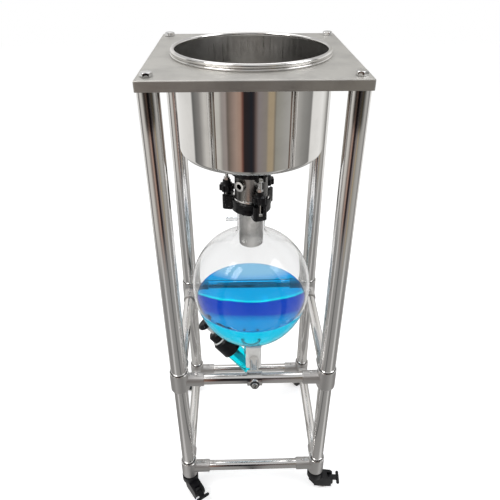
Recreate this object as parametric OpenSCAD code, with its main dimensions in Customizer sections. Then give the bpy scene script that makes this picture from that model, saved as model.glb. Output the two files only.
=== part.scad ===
// Vacuum filter stand: a steel filter bowl over a glass receiving flask, in a tube frame on casters.
// Millimetres. The origin is on the floor under the middle of the stand, +Z up, -Y is the front.

/* [Top plate] */
// Width of the top plate, left to right
plate_w = 500; // [480:5:560]
// Depth of the top plate, front to back
plate_d = 530; // [510:5:600]
// Thickness of the plate's sheet
plate_t = 2; // [1.5:0.5:3]
// Height of the folded skirt
plate_skirt = 24; // [18:1:40]
// Radius of the folds
fold_r = 3; // [2.5:0.5:4]
// Height of the plate's top above the floor
plate_top_z = 1480; // [1440:5:1600]
// Clearance round the bowl in the plate's hole, each side
bowl_hole_gap = 2; // [1:0.5:4]
// Width across the flats of the bolt heads
bolt_head_w = 24; // [20:1:28]
// Height of the bolt heads
bolt_head_h = 10; // [6:1:14]
// Diameter of the plate bolts
bolt_d = 12; // [8:1:16]

/* [Frame] */
// Distance between post centres, left to right
post_span_x = 453; // [440:1:470]
// Distance between post centres, front to back
post_span_y = 462; // [440:1:500]
// Outside diameter of the upper tubes
upper_d = 50; // [46:1:52]
// Outside diameter of the lower tubes
lower_d = 43; // [38:1:45]
// Wall of the post tubes
tube_wall = 2; // [1.5:0.5:3]
// Outside diameter of the cross bars
bar_d = 34; // [28:1:36]
// Height from the flask's widest circle down to the middle bars' centres
bar_drop = 196; // [190:1:210]
// Height of the bottom bars' centres
bottom_z = 128; // [126:1:160]
// Slip between tubes and connectors, each side
slip = 0.15; // [0.1:0.05:0.3]

/* [Connectors] */
// Outside diameter of the middle connectors
mid_collar_d = 58; // [57:0.5:64]
// Outside diameter of the bottom connectors
low_collar_d = 54; // [52:0.5:58]
// Height of the connectors
collar_h = 75; // [66:1:90]
// Outside diameter of the sleeves for the bars
sleeve_d = 42; // [40:0.5:44]
// Length of the sleeves beyond the connector
sleeve_len = 45; // [35:1:55]
// Depth of the open ring at a connector's rim
rim_depth = 8; // [4:1:12]
// Thickness of the connector's rim
rim_t = 2; // [1.5:0.25:3]
// Diameter of the set screws
set_d = 5; // [4:0.5:6]
// Diameter of the set screws' heads
set_head_d = 10; // [8:0.5:11]
// Height of the set screws' heads
set_head_h = 3.5; // [2.5:0.5:5]

/* [Casters] */
// Diameter of the wheels
wheel_d = 52; // [46:1:54]
// Width of the wheels
wheel_w = 28; // [24:1:30]
// Diameter of the wheel axles
axle_d = 8; // [6:1:10]
// Distance from the swivel axis to the axle
caster_trail = 30; // [26:1:34]
// Thickness of the fork's walls
fork_t = 4; // [3:0.5:6]
// Clearance between the wheel and the fork
wheel_gap = 1.5; // [1:0.5:3]
// Diameter of the swivel head
head_d = 56; // [50:1:60]
// Diameter of the swivel stem
stem_d = 12; // [10:1:14]
// Width of the brake pedal's bar
pedal_w = 50; // [40:1:60]
// Distance from the swivel axis to the pedal's bar
pedal_reach = 84; // [80:1:90]
// Running clearance of stems, axles and knobs, each side
run_gap = 0.05; // [0.03:0.01:0.1]
// Bearing of the front left caster
caster_az_front_left = -56; // [-90:1:0]
// Bearing of the front right caster
caster_az_front_right = -5; // [-60:1:30]

/* [Filter bowl] */
// Outside diameter of the bowl
bowl_d = 388; // [360:2:400]
// Wall of the bowl
bowl_wall = 2.5; // [1.5:0.5:4]
// Depth of the bowl below the plate's top
bowl_depth = 250; // [200:5:280]
// Outside radius of the bowl's bottom corner
bowl_corner_r = 15; // [10:1:25]
// Diameter of the rolled rim
rim_bead_d = 11; // [8:1:14]
// Height of the rolled rim's top above the plate
rim_h = 16.5; // [15:0.5:24]
// Height of the shoulder bead that rests on the plate
seat_h = 5; // [3:0.5:6]
// Height of the filter plate above the bowl's floor
screen_lift = 30; // [20:1:50]
// Thickness of the filter plate
screen_t = 3; // [2:0.5:5]
// Diameter of the filter plate's holes
screen_hole_d = 7; // [4:0.5:9]
// Number of rings of holes
screen_rings = 5; // [3:1:5]
// Width of the ledge under the filter plate
ledge_w = 10; // [6:1:16]

/* [Coupling] */
// Outside diameter of the drip pipe
pipe_d = 72; // [60:1:74]
// Wall of the drip pipe
pipe_wall = 2; // [1.5:0.5:3]
// Depth of the pipe's lower end below the plate's top
pipe_end = 555; // [545:5:600]
// Depth of the bowl's outlet flange below the plate's top
flange_depth = 300; // [290:1:310]
// Outside diameter of the flanges
flange_d = 104; // [100:1:106]
// Thickness of the flanges
flange_t = 7; // [5:0.5:9]
// Thickness of the gaskets
gasket_t = 2.5; // [2:0.25:4]
// Outside diameter of the spool's drum
drum_d = 96; // [94:1:96]
// Wall of the drum
drum_wall = 2.5; // [2:0.5:4]
// Height of the drum between its flanges
drum_h = 71; // [68:1:76]
// Outside diameter of the vacuum stub
port_d = 30; // [26:1:34]
// Bore of the vacuum stub
port_bore = 16; // [10:1:18]
// Reach of the vacuum stub from the axis
port_reach = 59; // [54:1:64]
// Bearing of the vacuum stub
port_az = -127; // [-128:1:-120]
// Outside diameter of the clamp rings
clamp_d = 120; // [118:1:124]
// Height of the lower clamp ring
clamp_h = 22; // [18:1:26]
// Radius of the circle of tie bolts
tie_r = 72; // [71.5:0.5:76]
// Bearing of the first tie bolt
tie_az = -72; // [-75:1:-68]
// Diameter of the tie bolts
tie_d = 10; // [8:0.5:11]
// Diameter of the clamp knobs over the lobes
knob_d = 45; // [40:1:46]
// Height of the clamp knobs
knob_h = 36; // [30:1:38]
// Number of lobes on a clamp knob
knob_lobes = 8; // [6:1:10]
// Width of the clamp rings' ears
ear_w = 40; // [34:1:44]

/* [Glass flask] */
// Wall of the glass
glass_t = 4; // [3:0.5:5]
// Outside diameter of the flask's neck
neck_d = 85; // [82:1:86]
// Outside radius of the flask
flask_r = 190; // [170:1:195]
// Height from the glass flange down to the flask's widest circle
flask_drop = 300.5; // [280:0.5:310]
// Height of the flask's lower half
flask_bottom_r = 222; // [190:1:225]
// Radius between the neck and the flask
shoulder_r = 32; // [26:1:36]
// Outside diameter of the drain neck
drain_d = 50; // [46:1:54]
// Radius between the flask and the drain neck
drain_fillet_r = 18; // [12:1:22]
// Height from the flask's bottom down to the valve seat
valve_drop = 165; // [155:1:175]
// Outside diameter of the valve barrel
barrel_d = 60; // [56:1:62]
// Length of the valve barrel
barrel_len = 112; // [106:1:116]
// Diameter of the drain nozzle
nozzle_d = 18; // [14:1:20]
// Bore of the drain nozzle
nozzle_bore = 10; // [8:0.5:11]
// Length of the drain nozzle
nozzle_len = 38; // [30:1:45]
// Height from the glass flange down to the side arm
arm_drop = 62.5; // [57.5:0.5:67.5]
// Reach of the side arm from the neck's axis
arm_reach = 76; // [70:1:84]
// Diameter of the side arm
side_arm_d = 10; // [8:0.5:12]
// Height from the flask's widest circle down to the liquid's surface
liquid_drop = 52; // [27:1:107]
// Clearance of the liquid from the glass
liquid_gap = 0.3; // [0.2:0.1:0.5]

/* [Drain valve] */
// Angle of the valve barrel above level
valve_tilt = 47.6; // [44:0.1:50]
// Bearing of the valve barrel
valve_az = 168; // [160:1:180]
// Outside diameter of the screw cap
cap_d = 75; // [70:1:78]
// Length of the screw cap
cap_len = 64; // [58:1:70]
// Diameter of the gland nut
gland_d = 55; // [48:1:60]
// Length of the gland nut
gland_len = 32; // [26:1:36]
// Diameter of the valve's plunger
plunger_d = 24; // [20:1:28]
// Diameter of the valve's spindle
spindle_d = 18; // [14:1:20]
// Diameter of the valve's handle
handle_d = 52; // [44:1:58]
// Thickness of the valve's handle
handle_t = 22; // [16:1:26]

/* [Flask support] */
// Place of the support arm, left to right
arm_x = 4; // [-10:1:20]
// Diameter of the support arm
arm_d = 28; // [24:1:30]
// Place of the saddle's front face behind the middle of the stand
saddle_front_y = -150; // [-155:1:-145]
// Width of the saddle
saddle_w = 50; // [44:1:60]
// Depth of the saddle, front to back
saddle_l = 50; // [40:1:56]
// Height from the arm's axis down to the saddle's underside
saddle_sink = 41; // [36:1:56]
// Height from the flask's widest circle down to the saddle's top edge
saddle_drop = 149; // [145:1:155]
// Length of the arm inside the saddle
arm_grip = 22; // [16:1:28]
// Wall of the arm's clamp round the bar
arm_clamp_t = 6; // [4:0.5:7]
// Width of the arm's clamp
arm_clamp_w = 46; // [40:1:52]

/* [Hidden] */
$fn = 96;
eps = 0.01;
post_x = post_span_x / 2;
post_y = post_span_y / 2;
collar_r_mid = mid_collar_d / 2;
collar_r_low = low_collar_d / 2;
bar_inset = 30;
web_h = 6;
low_web_h = 20;
floor_web = collar_h / 2;
spigot_d = 32;
spigot_len = plate_skirt - plate_t;
screw_inset = 22;
screw_seat = sleeve_d / 2 - 0.8;
wheel_r = wheel_d / 2;
fork_in = wheel_w / 2 + wheel_gap;
fork_out = fork_in + fork_t;
fork_r = wheel_r + wheel_gap + fork_t;
head_top = bottom_z - floor_web - 0.4;
head_bottom = fork_r + wheel_r + 4;
stem_top = bottom_z - floor_web + low_web_h - 1;
pedal_pin_x = caster_trail + 24;
pedal_pin_z = wheel_r + 20;
pedal_pin_d = 5;
pedal_t = 8;
pedal_arm_w = 18;
bowl_r = bowl_d / 2;
screen_r = bowl_r - bowl_wall - 1;
outlet_r = pipe_d / 2 + 1.5;
pipe_r = pipe_d / 2;
flange_r = flange_d / 2;
drum_r = drum_d / 2;
collar_t = 3;
stack_gasket_1 = flange_depth + flange_t;
stack_collar = stack_gasket_1 + gasket_t;
stack_gasket_2 = stack_collar + collar_t;
stack_spool = stack_gasket_2 + gasket_t;
stack_drum = stack_spool + flange_t;
stack_drum_end = stack_drum + drum_h;
stack_gasket_3 = stack_drum_end + flange_t;
stack_glass = stack_gasket_3 + gasket_t;
glass_flange_t = 10;
cushion_t = 3;
stack_cushion = stack_glass + glass_flange_t;
stack_lip = stack_cushion + cushion_t;
stack_clamp_end = stack_lip + clamp_h;
clamp_r = clamp_d / 2;
clamp_bore = flange_r + 1.5;
upper_clamp_top = flange_depth - 14;
upper_clamp_end = stack_drum - 3;
ear_r = ear_w / 2;
knob_top = stack_drum + 29;
knob_bottom = knob_top + knob_h;
eye_r = 9.5;
eye_w = 12;
eye_depth = flange_depth + 16;
foot_depth = stack_clamp_end - 13;
slot_w = eye_w + 1;
neck_r = neck_d / 2;
drain_r = drain_d / 2;
flask_depth = stack_cushion + flask_drop;
liquid_depth = flask_depth + liquid_drop;
valve_depth = flask_depth + flask_bottom_r + valve_drop;
middle_z = plate_top_z - flask_depth - bar_drop;
barrel_r = barrel_d / 2;
valve_z = plate_top_z - valve_depth;
stem_tip = 6;
stem_tip_len = 12;
cap_start = barrel_len - 12;
cap_end = cap_start + cap_len;
seal_t = 4;
gland_start = cap_end + seal_t;
gland_end = gland_start + gland_len;
handle_start = gland_end + 34;
spindle_start = barrel_len - 12;
spindle_end = handle_start + handle_t - 4;
saddle_top = flask_depth + saddle_drop;
saddle_bottom = flask_depth + bar_drop + saddle_sink;
saddle_gap = 0.3;
arm_start_y = -post_y + bar_d / 2 + 1;
arm_end_y = saddle_front_y + arm_grip;

// Names of the posts by place: front or rear, left or right

// Moves a child down from the plate's top
module at_depth(d) {
    translate([0, 0, plate_top_z - d]) children();
}

// Puts a child on the post at a corner
module at_post(sx, sy) {
    translate([sx * post_x, sy * post_y, 0]) children();
}

// A solid of revolution from points given as [radius, depth below the plate's top]
module turned(points) {
    at_depth(0) rotate_extrude() polygon([for (p = points) [p[0], -p[1]]]);
}

// A plain ring between two depths
module ring(r_in, r_out, d0, d1) {
    turned([[r_in, d0], [r_out, d0], [r_out, d1], [r_in, d1]]);
}

// Points on an arc, from angle a0 to a1
function arc(c, r, a0, a1, n) = [for (i = [0:n]) let (a = a0 + (a1 - a0) * i / n)
    [c[0] + r * cos(a), c[1] + r * sin(a)]];

// A rounded rectangle of squares and circles
module rounded_rect(w, d, r) {
    square([w - 2 * r, d], center = true);
    square([w, d - 2 * r], center = true);
    for (x = [-1, 1], y = [-1, 1])
        translate([x * (w / 2 - r), y * (d / 2 - r)]) circle(r = r, $fn = 48);
}

// A block with rounded upright edges and a rounded top edge
module folded_block(w, d, h, r) {
    intersection() {
        translate([0, 0, -h]) linear_extrude(height = h) rounded_rect(w, d, r);
        translate([0, d / 2 + 1, -h]) rotate([90, 0, 0]) linear_extrude(height = d + 2)
            rounded_rect(w, 2 * h, r);
        translate([-w / 2 - 1, 0, -h]) rotate([90, 0, 90]) linear_extrude(height = w + 2)
            rounded_rect(d, 2 * h, r);
    }
}

module top_plate() {
    color("gainsboro") at_depth(0) difference() {
        folded_block(plate_w, plate_d, plate_skirt, fold_r);
        translate([0, 0, -plate_t]) folded_block(plate_w - 2 * plate_t, plate_d - 2 * plate_t,
            plate_skirt, fold_r - plate_t);
        translate([0, 0, -plate_t - 1]) cylinder(r = bowl_r + bowl_hole_gap, h = plate_t + 2);
        for (x = [-1, 1], y = [-1, 1])
            translate([x * post_x, y * post_y, -plate_t - 1]) cylinder(d = bolt_d + 1, h = plate_t + 2);
    }
}

// The four hexagon bolts that hold the plate to the posts
module plate_bolts() {
    color("silver") for (x = [-1, 1], y = [-1, 1]) at_post(x, y) {
        at_depth(0) cylinder(d = bolt_head_w / cos(30), h = bolt_head_h, $fn = 6);
        at_depth(plate_skirt + 6) cylinder(d = bolt_d, h = plate_skirt + 6 + eps);
    }
}

module upper_post(sx, sy) {
    top = plate_top_z - plate_skirt;
    foot = middle_z + web_h;
    color("silver") at_post(sx, sy) difference() {
        union() {
            translate([0, 0, foot]) cylinder(d = upper_d, h = top - foot);
            translate([0, 0, top - eps]) cylinder(d = spigot_d, h = spigot_len + eps);
        }
        translate([0, 0, foot - 1]) cylinder(d = upper_d - 2 * tube_wall, h = top - foot - 9);
        translate([0, 0, top - 15]) cylinder(d = bolt_d + 2 * slip, h = spigot_len + 20);
    }
}

module lower_post(sx, sy) {
    top = middle_z - web_h;
    foot = bottom_z - floor_web + low_web_h;
    color("silver") at_post(sx, sy) translate([0, 0, foot]) difference() {
        cylinder(d = lower_d, h = top - foot);
        translate([0, 0, -1]) cylinder(d = lower_d - 2 * tube_wall, h = top - foot + 2);
    }
}

// A sleeve with a flat for its set screw, along +X
module sleeve_solid(r) {
    rotate([0, 90, 0]) cylinder(d = sleeve_d, h = r + sleeve_len);
}
module sleeve_bore(r) {
    translate([bar_inset - slip, 0, 0]) rotate([0, 90, 0]) cylinder(d = bar_d + 2 * slip, h = sleeve_len + 20);
    translate([r + screw_inset, 0, 0]) cylinder(d = set_d + 2 * slip, h = sleeve_d);
    translate([r + screw_inset, 0, screw_seat]) cylinder(d = set_head_d + 1, h = 10);
}

// A connector: a turned body with two sleeves, one towards each neighbour
module collar(sx, sy, z, r, top_d, base_d, base_web, base_bore) {
    half = collar_h / 2;
    round_r = 6;
    profile = concat([[0, half], [r, half]], arc([r - round_r, round_r - half], round_r, 0, -90, 8),
        [[0, -half]]);
    translate([sx * post_x, sy * post_y, z]) difference() {
        union() {
            rotate_extrude() polygon(profile);
            rotate([0, 0, sx > 0 ? 180 : 0]) sleeve_solid(r);
            rotate([0, 0, sy > 0 ? -90 : 90]) sleeve_solid(r);
        }
        rotate([0, 0, sx > 0 ? 180 : 0]) sleeve_bore(r);
        rotate([0, 0, sy > 0 ? -90 : 90]) sleeve_bore(r);
        translate([0, 0, base_web]) cylinder(d = top_d + 2 * slip, h = collar_h);
        translate([0, 0, half - rim_depth]) cylinder(r = r - rim_t, h = collar_h);
        translate([0, 0, -collar_h]) cylinder(d = base_d, h = base_bore + collar_h);
    }
}

module middle_collar(sx, sy) {
    color("silver") collar(sx, sy, middle_z, collar_r_mid, upper_d, lower_d + 2 * slip, web_h, -web_h);
}

module bottom_collar(sx, sy) {
    color("silver") collar(sx, sy, bottom_z, collar_r_low, lower_d, stem_d + 2 * run_gap,
        low_web_h - floor_web, low_web_h - floor_web + 1);
}

// A bar from front to back or from side to side
module bar_x(sy, z) {
    color("silver") translate([0, sy * post_y, z]) rotate([0, 90, 0])
        difference() {
            cylinder(d = bar_d, h = post_span_x - 2 * bar_inset, center = true);
            cylinder(d = bar_d - 2 * tube_wall, h = post_span_x, center = true);
        }
}
module bar_y(sx, z) {
    color("silver") translate([sx * post_x, 0, z]) rotate([90, 0, 0])
        difference() {
            cylinder(d = bar_d, h = post_span_y - 2 * bar_inset, center = true);
            cylinder(d = bar_d - 2 * tube_wall, h = post_span_y, center = true);
        }
}

// One set screw on top of a sleeve, with a hexagon socket
module set_screw() {
    difference() {
        union() {
            translate([0, 0, bar_d / 2 + 0.1]) cylinder(d = set_d, h = screw_seat - bar_d / 2);
            translate([0, 0, screw_seat]) cylinder(d = set_head_d, h = set_head_h);
        }
        translate([0, 0, screw_seat + 1.5]) cylinder(d = set_head_d / 2, h = set_head_h, $fn = 6);
    }
}

module set_screws() {
    color("dimgray") {
        for (x = [-1, 1], y = [-1, 1], level = [[middle_z, collar_r_mid], [bottom_z, collar_r_low]]) {
            inset = level[1] + screw_inset;
            translate([x * (post_x - inset), y * post_y, level[0]]) set_screw();
            translate([x * post_x, y * (post_y - inset), level[0]]) set_screw();
        }
    }
}

// Puts a caster part at a corner and turns it to its bearing
module at_caster(sx, sy) {
    az = sx * sy > 0 ? caster_az_front_left : caster_az_front_right;
    at_post(sx, sy) rotate([0, 0, az + (sy > 0 ? 180 : 0)]) children();
}

// Side outline of the fork's hood
module hood_outline() {
    translate([caster_trail, wheel_r]) circle(r = fork_r);
    polygon([[-head_d / 2 + 6, head_bottom + 1], [-head_d / 2 + 6, head_bottom - 6],
        [caster_trail - fork_r, wheel_r], [caster_trail + 20, wheel_r],
        [pedal_pin_x + 12, wheel_r + 10], [pedal_pin_x + 12, pedal_pin_z + 6],
        [pedal_pin_x + 4, pedal_pin_z + 14], [caster_trail, head_bottom + 1]]);
}

module caster_fork(sx, sy) {
    color("dimgray") at_caster(sx, sy) {
        difference() {
            union() {
                translate([0, fork_out, 0]) rotate([90, 0, 0]) linear_extrude(height = 2 * fork_out)
                    hood_outline();
                rotate_extrude() polygon([[0, head_bottom - 8], [head_d / 2 - 8, head_bottom - 8],
                    [head_d / 2, head_bottom], [head_d / 2, head_top - 5], [head_d / 2 - 5, head_top],
                    [0, head_top]]);
                translate([0, 0, head_top - 1]) cylinder(d = stem_d, h = stem_top - head_top + 1);
            }
            translate([caster_trail, fork_in, wheel_r]) rotate([90, 0, 0])
                cylinder(r = wheel_r + wheel_gap, h = 2 * fork_in);
            translate([caster_trail - 60, -fork_out - 1, -10]) cube([120, 2 * fork_out + 2, wheel_r + 10 - axle_d]);
            translate([caster_trail - 10, -fork_in, -10]) cube([60, 2 * fork_in, wheel_r + 10]);
            translate([pedal_pin_x - 9, -pedal_arm_w / 2 - 0.5, pedal_pin_z - 14]) cube([40, pedal_arm_w + 1, 60]);
            translate([pedal_pin_x, fork_out + 1, pedal_pin_z]) rotate([90, 0, 0])
                cylinder(d = pedal_pin_d + 2 * run_gap, h = 2 * fork_out + 2);
        }
        translate([caster_trail, fork_out, wheel_r]) rotate([90, 0, 0]) cylinder(d = axle_d, h = 2 * fork_out);
    }
}

module caster_wheel(sx, sy) {
    half = wheel_w / 2;
    rim_r = wheel_r - 6;
    color("darkslategray") at_caster(sx, sy) translate([caster_trail, 0, wheel_r]) rotate([90, 0, 0])
        rotate_extrude() polygon(concat([[axle_d / 2 + run_gap, -half], [axle_d / 2 + 5, -half],
            [axle_d / 2 + 6, 3 - half], [rim_r - 2, 3 - half], [rim_r, -half]],
            arc([wheel_r - 3, 3 - half], 3, -90, 0, 6), arc([wheel_r - 3, half - 3], 3, 0, 90, 6),
            [[rim_r, half], [rim_r - 2, half - 3], [axle_d / 2 + 6, half - 3], [axle_d / 2 + 5, half],
            [axle_d / 2 + run_gap, half]]));
}

module caster_brake(sx, sy) {
    color("black") at_caster(sx, sy) {
        translate([pedal_pin_x, fork_out, pedal_pin_z]) rotate([90, 0, 0])
            cylinder(d = pedal_pin_d, h = 2 * fork_out);
        translate([pedal_pin_x, pedal_arm_w / 2, pedal_pin_z]) rotate([90, 0, 0])
            cylinder(d = pedal_t, h = pedal_arm_w);
        translate([pedal_pin_x, -pedal_arm_w / 2, pedal_pin_z - pedal_t / 2])
            cube([pedal_reach - pedal_pin_x, pedal_arm_w, pedal_t]);
        translate([pedal_reach, pedal_w / 2 - 5, pedal_pin_z]) rotate([90, 0, 0])
            cylinder(d = pedal_t + 3, h = pedal_w - 10);
        for (y = [-1, 1]) translate([pedal_reach, y * (pedal_w / 2 - 5), pedal_pin_z]) sphere(d = pedal_t + 3);
    }
}

// The bowl is one welded piece: rolled rim, shoulder bead, wall, ledge, floor, outlet and flange
module filter_bowl() {
    bead_r = rim_bead_d / 2;
    rim_c = bowl_r + 0.5;
    floor_in = bowl_depth - bowl_wall;
    ledge_top = floor_in - screen_lift;
    ledge_end = floor_in - screen_lift + 4;
    wall_in = bowl_r - bowl_wall;
    inner_corner = bowl_corner_r - bowl_wall;
    outer = concat([[wall_in, 0 - rim_h + bead_r], [bowl_r, bead_r - rim_h], [bowl_r, bowl_depth - bowl_corner_r]],
        arc([bowl_r - bowl_corner_r, bowl_depth - bowl_corner_r], bowl_corner_r, 0, 90, 12),
        [[outlet_r + 2.5, bowl_depth], [outlet_r + 2.5, flange_depth], [flange_r, flange_depth],
        [flange_r, stack_gasket_1], [outlet_r, stack_gasket_1], [outlet_r, floor_in]]);
    inner = concat(arc([wall_in - inner_corner, floor_in - inner_corner], inner_corner, 90, 0, 12),
        [[wall_in, ledge_end], [wall_in - ledge_w, ledge_end - 1], [wall_in - ledge_w, ledge_top],
        [wall_in, ledge_top]]);
    color("silver") {
        turned(concat(outer, inner));
        at_depth(0) rotate_extrude() translate([rim_c, rim_h - bead_r]) circle(r = bead_r, $fn = 48);
        at_depth(0) rotate_extrude() {
            translate([bowl_r - 1, 0]) square([seat_h, seat_h]);
            translate([bowl_r - 1 + seat_h, seat_h / 2]) circle(r = seat_h / 2, $fn = 32);
        }
    }
}

// The perforated plate, with its holes on rings
module filter_plate() {
    top = bowl_depth - bowl_wall - screen_lift - screen_t;
    pitch = (screen_r - ledge_w - 12) / screen_rings;
    color("lightgray") at_depth(top + screen_t) difference() {
        cylinder(r = screen_r, h = screen_t);
        translate([0, 0, -1]) cylinder(d = screen_hole_d, h = screen_t + 2, $fn = 24);
        for (k = [1:screen_rings], i = [0:6 * k - 1])
            rotate([0, 0, i * 60 / k]) translate([k * pitch, 0, -1])
                cylinder(d = screen_hole_d, h = screen_t + 2, $fn = 24);
    }
}

// The drip pipe hangs by a collar between the two upper gaskets
module drip_pipe() {
    color("lightgray") turned([[pipe_r - pipe_wall, stack_collar], [flange_r, stack_collar],
        [flange_r, stack_gasket_2], [pipe_r, stack_gasket_2], [pipe_r, pipe_end],
        [pipe_r - pipe_wall, pipe_end]]);
}

// The spool carries the vacuum stub
module outlet_spool() {
    port_mid = stack_drum + 24;
    color("silver") difference() {
        union() {
            turned([[outlet_r, stack_spool], [flange_r, stack_spool], [flange_r, stack_drum],
                [drum_r, stack_drum], [drum_r, stack_drum_end], [flange_r + 1.5, stack_drum_end],
                [flange_r + 1.5, stack_gasket_3], [drum_r - drum_wall, stack_gasket_3],
                [drum_r - drum_wall, stack_drum], [outlet_r, stack_drum]]);
            rotate([0, 0, port_az]) translate([drum_r - drum_wall + 0.5, 0, plate_top_z - port_mid])
                rotate([0, 90, 0]) cylinder(d = port_d, h = port_reach - drum_r + drum_wall - 0.5);
        }
        rotate([0, 0, port_az]) translate([pipe_r + 2, 0, plate_top_z - port_mid]) rotate([0, 90, 0])
            cylinder(d = port_bore, h = port_reach);
    }
}

// Puts a child at each tie bolt's bearing
module at_ties(k) {
    rotate([0, 0, tie_az + 120 * k]) children();
}

// An ear that stands out from a clamp ring, from depth d0 to d1
module ear(d0, d1, reach) {
    translate([0, 0, plate_top_z - d1]) linear_extrude(height = d1 - d0) {
        translate([clamp_bore + 1, -ear_r]) square([reach - ear_r / 2 - clamp_bore - 1, ear_w]);
        translate([reach - ear_r / 2, ear_r / 2]) circle(r = ear_r / 2, $fn = 48);
        translate([reach - ear_r / 2, -ear_r / 2]) circle(r = ear_r / 2, $fn = 48);
        translate([clamp_bore + 1, -ear_r / 2]) square([reach - clamp_bore - 1, ear_r]);
    }
}

module upper_clamp_ring() {
    lug_w = 26;
    color("black") difference() {
        union() {
            turned([[outlet_r + 3.5, upper_clamp_top], [clamp_r - 4, upper_clamp_top],
                [clamp_r, upper_clamp_top + 4], [clamp_r, upper_clamp_end], [clamp_bore, upper_clamp_end],
                [clamp_bore, flange_depth - 0.3], [outlet_r + 3.5, flange_depth - 0.3]]);
            for (k = [0:2]) at_ties(k) translate([clamp_bore + 1, -lug_w / 2, plate_top_z - upper_clamp_end])
                cube([tie_r + eye_r - clamp_bore - 2, lug_w, upper_clamp_end - upper_clamp_top - 6]);
        }
        for (k = [0:2]) at_ties(k) translate([clamp_r, -slot_w / 2, plate_top_z - upper_clamp_end - 1])
            cube([60, slot_w, upper_clamp_end - upper_clamp_top + 2]);
    }
}

module lower_clamp_ring() {
    top = stack_drum_end + flange_t / 2 + 3;
    rib = (stack_clamp_end - stack_lip) / 2;
    color("black") difference() {
        union() {
            turned([[clamp_bore + 0.6, top], [clamp_r - 3, top], [clamp_r - 1, top + 3], [clamp_r - 1, stack_lip],
                [clamp_r - 5, stack_lip + 2], [clamp_r - 2, stack_lip + rib],
                [clamp_r - 2, stack_clamp_end - 5], [clamp_r - 8, stack_clamp_end],
                [neck_r + 1, stack_clamp_end], [neck_r + 1, stack_lip], [clamp_bore + 0.6, stack_lip]]);
            for (k = [0:2]) at_ties(k) ear(stack_drum_end + 2, stack_clamp_end, tie_r + 12);
        }
        ring(0, flange_r + 2.1, stack_drum_end, stack_lip);
        for (k = [0:2]) at_ties(k) translate([clamp_r, -slot_w / 2, plate_top_z - foot_depth])
            cube([60, slot_w, 60]);
        for (k = [0:2]) at_ties(k) translate([tie_r, slot_w / 2, plate_top_z - foot_depth]) rotate([90, 0, 0])
            cylinder(r = eye_r + 0.5, h = slot_w);
    }
}

// Soft rings: two above the spool, one on the glass, the neck cushion and the valve's seal
module gaskets() {
    color("whitesmoke") {
        ring(outlet_r, flange_r, stack_gasket_1, stack_collar);
        ring(outlet_r, flange_r, stack_gasket_2, stack_spool);
        ring(neck_r - glass_t, flange_r, stack_gasket_3, stack_glass);
        ring(neck_r + 0.3, flange_r, stack_cushion, stack_lip);
        valve_frame() translate([0, 0, cap_end]) difference() {
            cylinder(d = gland_d + 8, h = seal_t);
            translate([0, 0, -1]) cylinder(d = spindle_d + 2 * run_gap, h = seal_t + 2);
        }
    }
}

// Each tie bolt is an eye with its pin and shank above, and a foot with its pin and shank below
module tie_bolts() {
    lug_w = 26;
    thread_gap = 6;
    color("silver") for (k = [0:2]) at_ties(k) translate([tie_r, 0, 0]) {
        at_depth(eye_depth) rotate([90, 0, 0]) cylinder(r = eye_r - 1, h = eye_w, center = true);
        at_depth(knob_top + knob_h / 2 - thread_gap) cylinder(d = tie_d,
            h = knob_top + knob_h / 2 - thread_gap - eye_depth);
        at_depth(knob_top - 1) cylinder(d = 18, h = 8, $fn = 6);
        at_depth(foot_depth) rotate([90, 0, 0]) cylinder(r = eye_r, h = eye_w, center = true);
        at_depth(foot_depth) cylinder(d = tie_d, h = foot_depth - knob_top - knob_h / 2 - thread_gap);
    }
}

// A lobed knob that draws the two halves of its tie bolt together
module clamp_knob(k) {
    hub_r = knob_d / 2 - 5;
    lobe_r = 5;
    bore_r = tie_d / 2 + run_gap;
    color("black") at_ties(k) translate([tie_r, 0, 0]) at_depth(knob_bottom) union() {
        rotate_extrude() polygon([[bore_r, 0], [hub_r - 4, 0], [hub_r - 1, 4.5], [hub_r - 1, knob_h - 14],
            [hub_r - 5, knob_h - 8], [12, knob_h - 8], [12, knob_h], [bore_r, knob_h]]);
        translate([0, 0, 4]) linear_extrude(height = knob_h - 18) difference() {
            union() {
                circle(r = hub_r);
                for (i = [0:knob_lobes - 1]) rotate([0, 0, (i + 0.5) * 360 / knob_lobes])
                    translate([hub_r, 0]) circle(r = lobe_r, $fn = 32);
            }
            circle(r = hub_r - 5);
        }
    }
}

// The flask's outline, set inwards by w, as [radius, depth] from the neck's top to the drain
function flask_side(w) = let (
    rs = flask_r - w,
    rb = flask_bottom_r - w,
    nr = neck_r - w,
    sr = shoulder_r + w,
    hc = flask_depth - sqrt(pow(rs + sr, 2) - pow(nr + sr, 2)),
    turn = asin((nr + sr) / (rs + sr)),
    pole_r = flask_r * flask_r / flask_bottom_r - w,
    pole_h = flask_depth + flask_bottom_r - w - pole_r,
    dr = drain_r - w,
    fr = drain_fillet_r + w,
    low = asin((dr + fr) / (pole_r + fr)),
    fillet_h = pole_h + (pole_r + fr) * cos(low),
    t_end = acos((dr + fr) * pole_r / (pole_r + fr) / rs)
) concat(
    arc([nr + sr, hc], sr, 180, 90 + turn, 8),
    [for (i = [1:20]) let (a = 90 - turn - (90 - turn) * i / 20) [rs * cos(a), flask_depth - rs * sin(a)]],
    [for (i = [1:24]) let (a = t_end * i / 24) [rs * cos(a), flask_depth + rb * sin(a)]],
    arc([dr + fr, fillet_h], fr, 270 - low, 180, 6));

// Stands a child on the valve's inclined axis
module valve_frame() {
    at_depth(valve_depth) rotate([0, 0, valve_az]) rotate([0, 90 - valve_tilt, 0]) children();
}

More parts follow.
